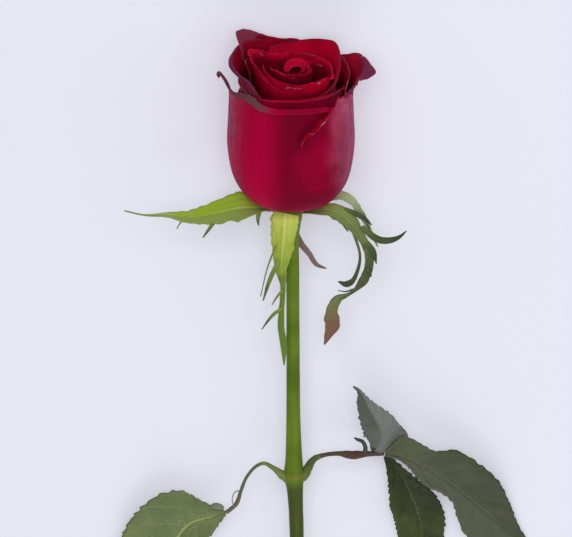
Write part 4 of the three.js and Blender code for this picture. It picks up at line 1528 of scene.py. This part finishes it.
@dataclass
class Studio:
    """A light table under the rose, four soft boxes over it and the photograph's camera.

    Lengths are in metres and box_energy in watts. Each box has its place and its share of that.
    """

    board_size: float = 4.0
    board_drop: float = 0.0003  # how far the board lies under the rose
    box_energy: float = 11.8
    box_size: float = 1.0
    box_aim: Point = (0, -0.03, 0.02)  # the bloom
    boxes: Sequence[tuple[str, Point, float]] = (
        ("top_box", (-0.05, 0.5, 1.38), 1.0),
        ("foot_box", (0.1, -1.05, 0.65), 0.5),
        ("left_box", (-0.9, 0.2, 0.7), 0.06),
        ("right_box", (0.9, 0.1, 0.7), 0.18),
    )
    room: str = "#f4f4ff"
    room_strength: float = 0.32

    def add(self, name: str, data: bpy.types.ID) -> bpy.types.Object:
        """Add an object of the studio's own to the scene."""
        made = bpy.data.objects.new(name, data)
        bpy.context.scene.collection.objects.link(made)
        return made

    def lay_board(self) -> None:
        """Make the board that the rose lies on."""
        bm = new_bmesh()
        bmesh.ops.create_grid(bm, x_segments=1, y_segments=1, size=self.board_size / 2, calc_uvs=True)
        bmesh.ops.translate(bm, verts=bm.verts, vec=(0, 0, -self.board_drop))
        mesh = bpy.data.meshes.new("board")
        bm.to_mesh(mesh)
        bm.free()
        mesh.materials.append(Coat.BOARD.material())
        board = self.add("board", mesh)

    def hang_box(self, name: str, place: Point, share: float) -> None:
        """Hang a soft box that points at the bloom.

        Args:
            name: The light's name.
            place: Where it hangs.
            share: Its share of the boxes' energy.
        """
        light = bpy.data.lights.new(name, "AREA")
        light.energy, light.size = self.box_energy * share, self.box_size
        hung = self.add(name, light)
        hung.location = place
        hung.rotation_euler = (Vector(self.box_aim) - Vector(place)).to_track_quat("-Z", "Y").to_euler()

    def light_room(self) -> None:
        """Light the rose from beyond its bloom, with less from its foot and little from the sides."""
        world = bpy.data.worlds.new("white room")
        world.use_nodes = True
        background = world.node_tree.nodes["Background"]
        background.inputs["Color"].default_value = linear(self.room)
        background.inputs["Strength"].default_value = self.room_strength
        bpy.context.scene.world = world
        for box in self.boxes:
            self.hang_box(*box)

    def aim_camera(self) -> None:
        """Set the camera at the photograph's angle and scale."""
        rise = math.radians(CAMERA_ELEVATION)
        back = Vector((0, -math.cos(rise), math.sin(rise)))
        head = Vector((0, math.sin(rise), math.cos(rise)))
        # The upright point that the middle of the picture shows.
        middle = Vector((PICTURE_MIDDLE[0], 0, PICTURE_MIDDLE[1] / math.cos(rise)))
        facing, upward = Laying.aim(back), Laying.aim(head)
        turned = Matrix((upward.cross(facing), upward, facing)).transposed().to_4x4()
        turned.translation = Laying.matrix @ (middle + back * CAMERA_DISTANCE)
        camera = bpy.data.cameras.new("camera")
        camera.sensor_width = SENSOR_WIDTH
        camera.lens = SENSOR_WIDTH * CAMERA_DISTANCE / (PICTURE_SIZE[0] * MM_PER_PIXEL)
        camera.clip_end = 100.0
        held = self.add("camera", camera)
        held.matrix_world = turned
        bpy.context.scene.camera = held
        bpy.context.scene.view_settings.view_transform = "Standard"

    def build(self) -> None:
        """Set up the board, the lights and the camera."""
        self.lay_board()
        self.light_room()
        self.aim_camera()


def main() -> None:
    """Build the rose and its studio."""
    logging.basicConfig(level=logging.INFO, format="%(name)s: %(message)s")
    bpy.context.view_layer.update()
    for part in (Studio(), Bloom(), Stem(), *SEPALS, *STALKS, *LEAFLETS):
        part.build()


if __name__ == "__main__":
    main()
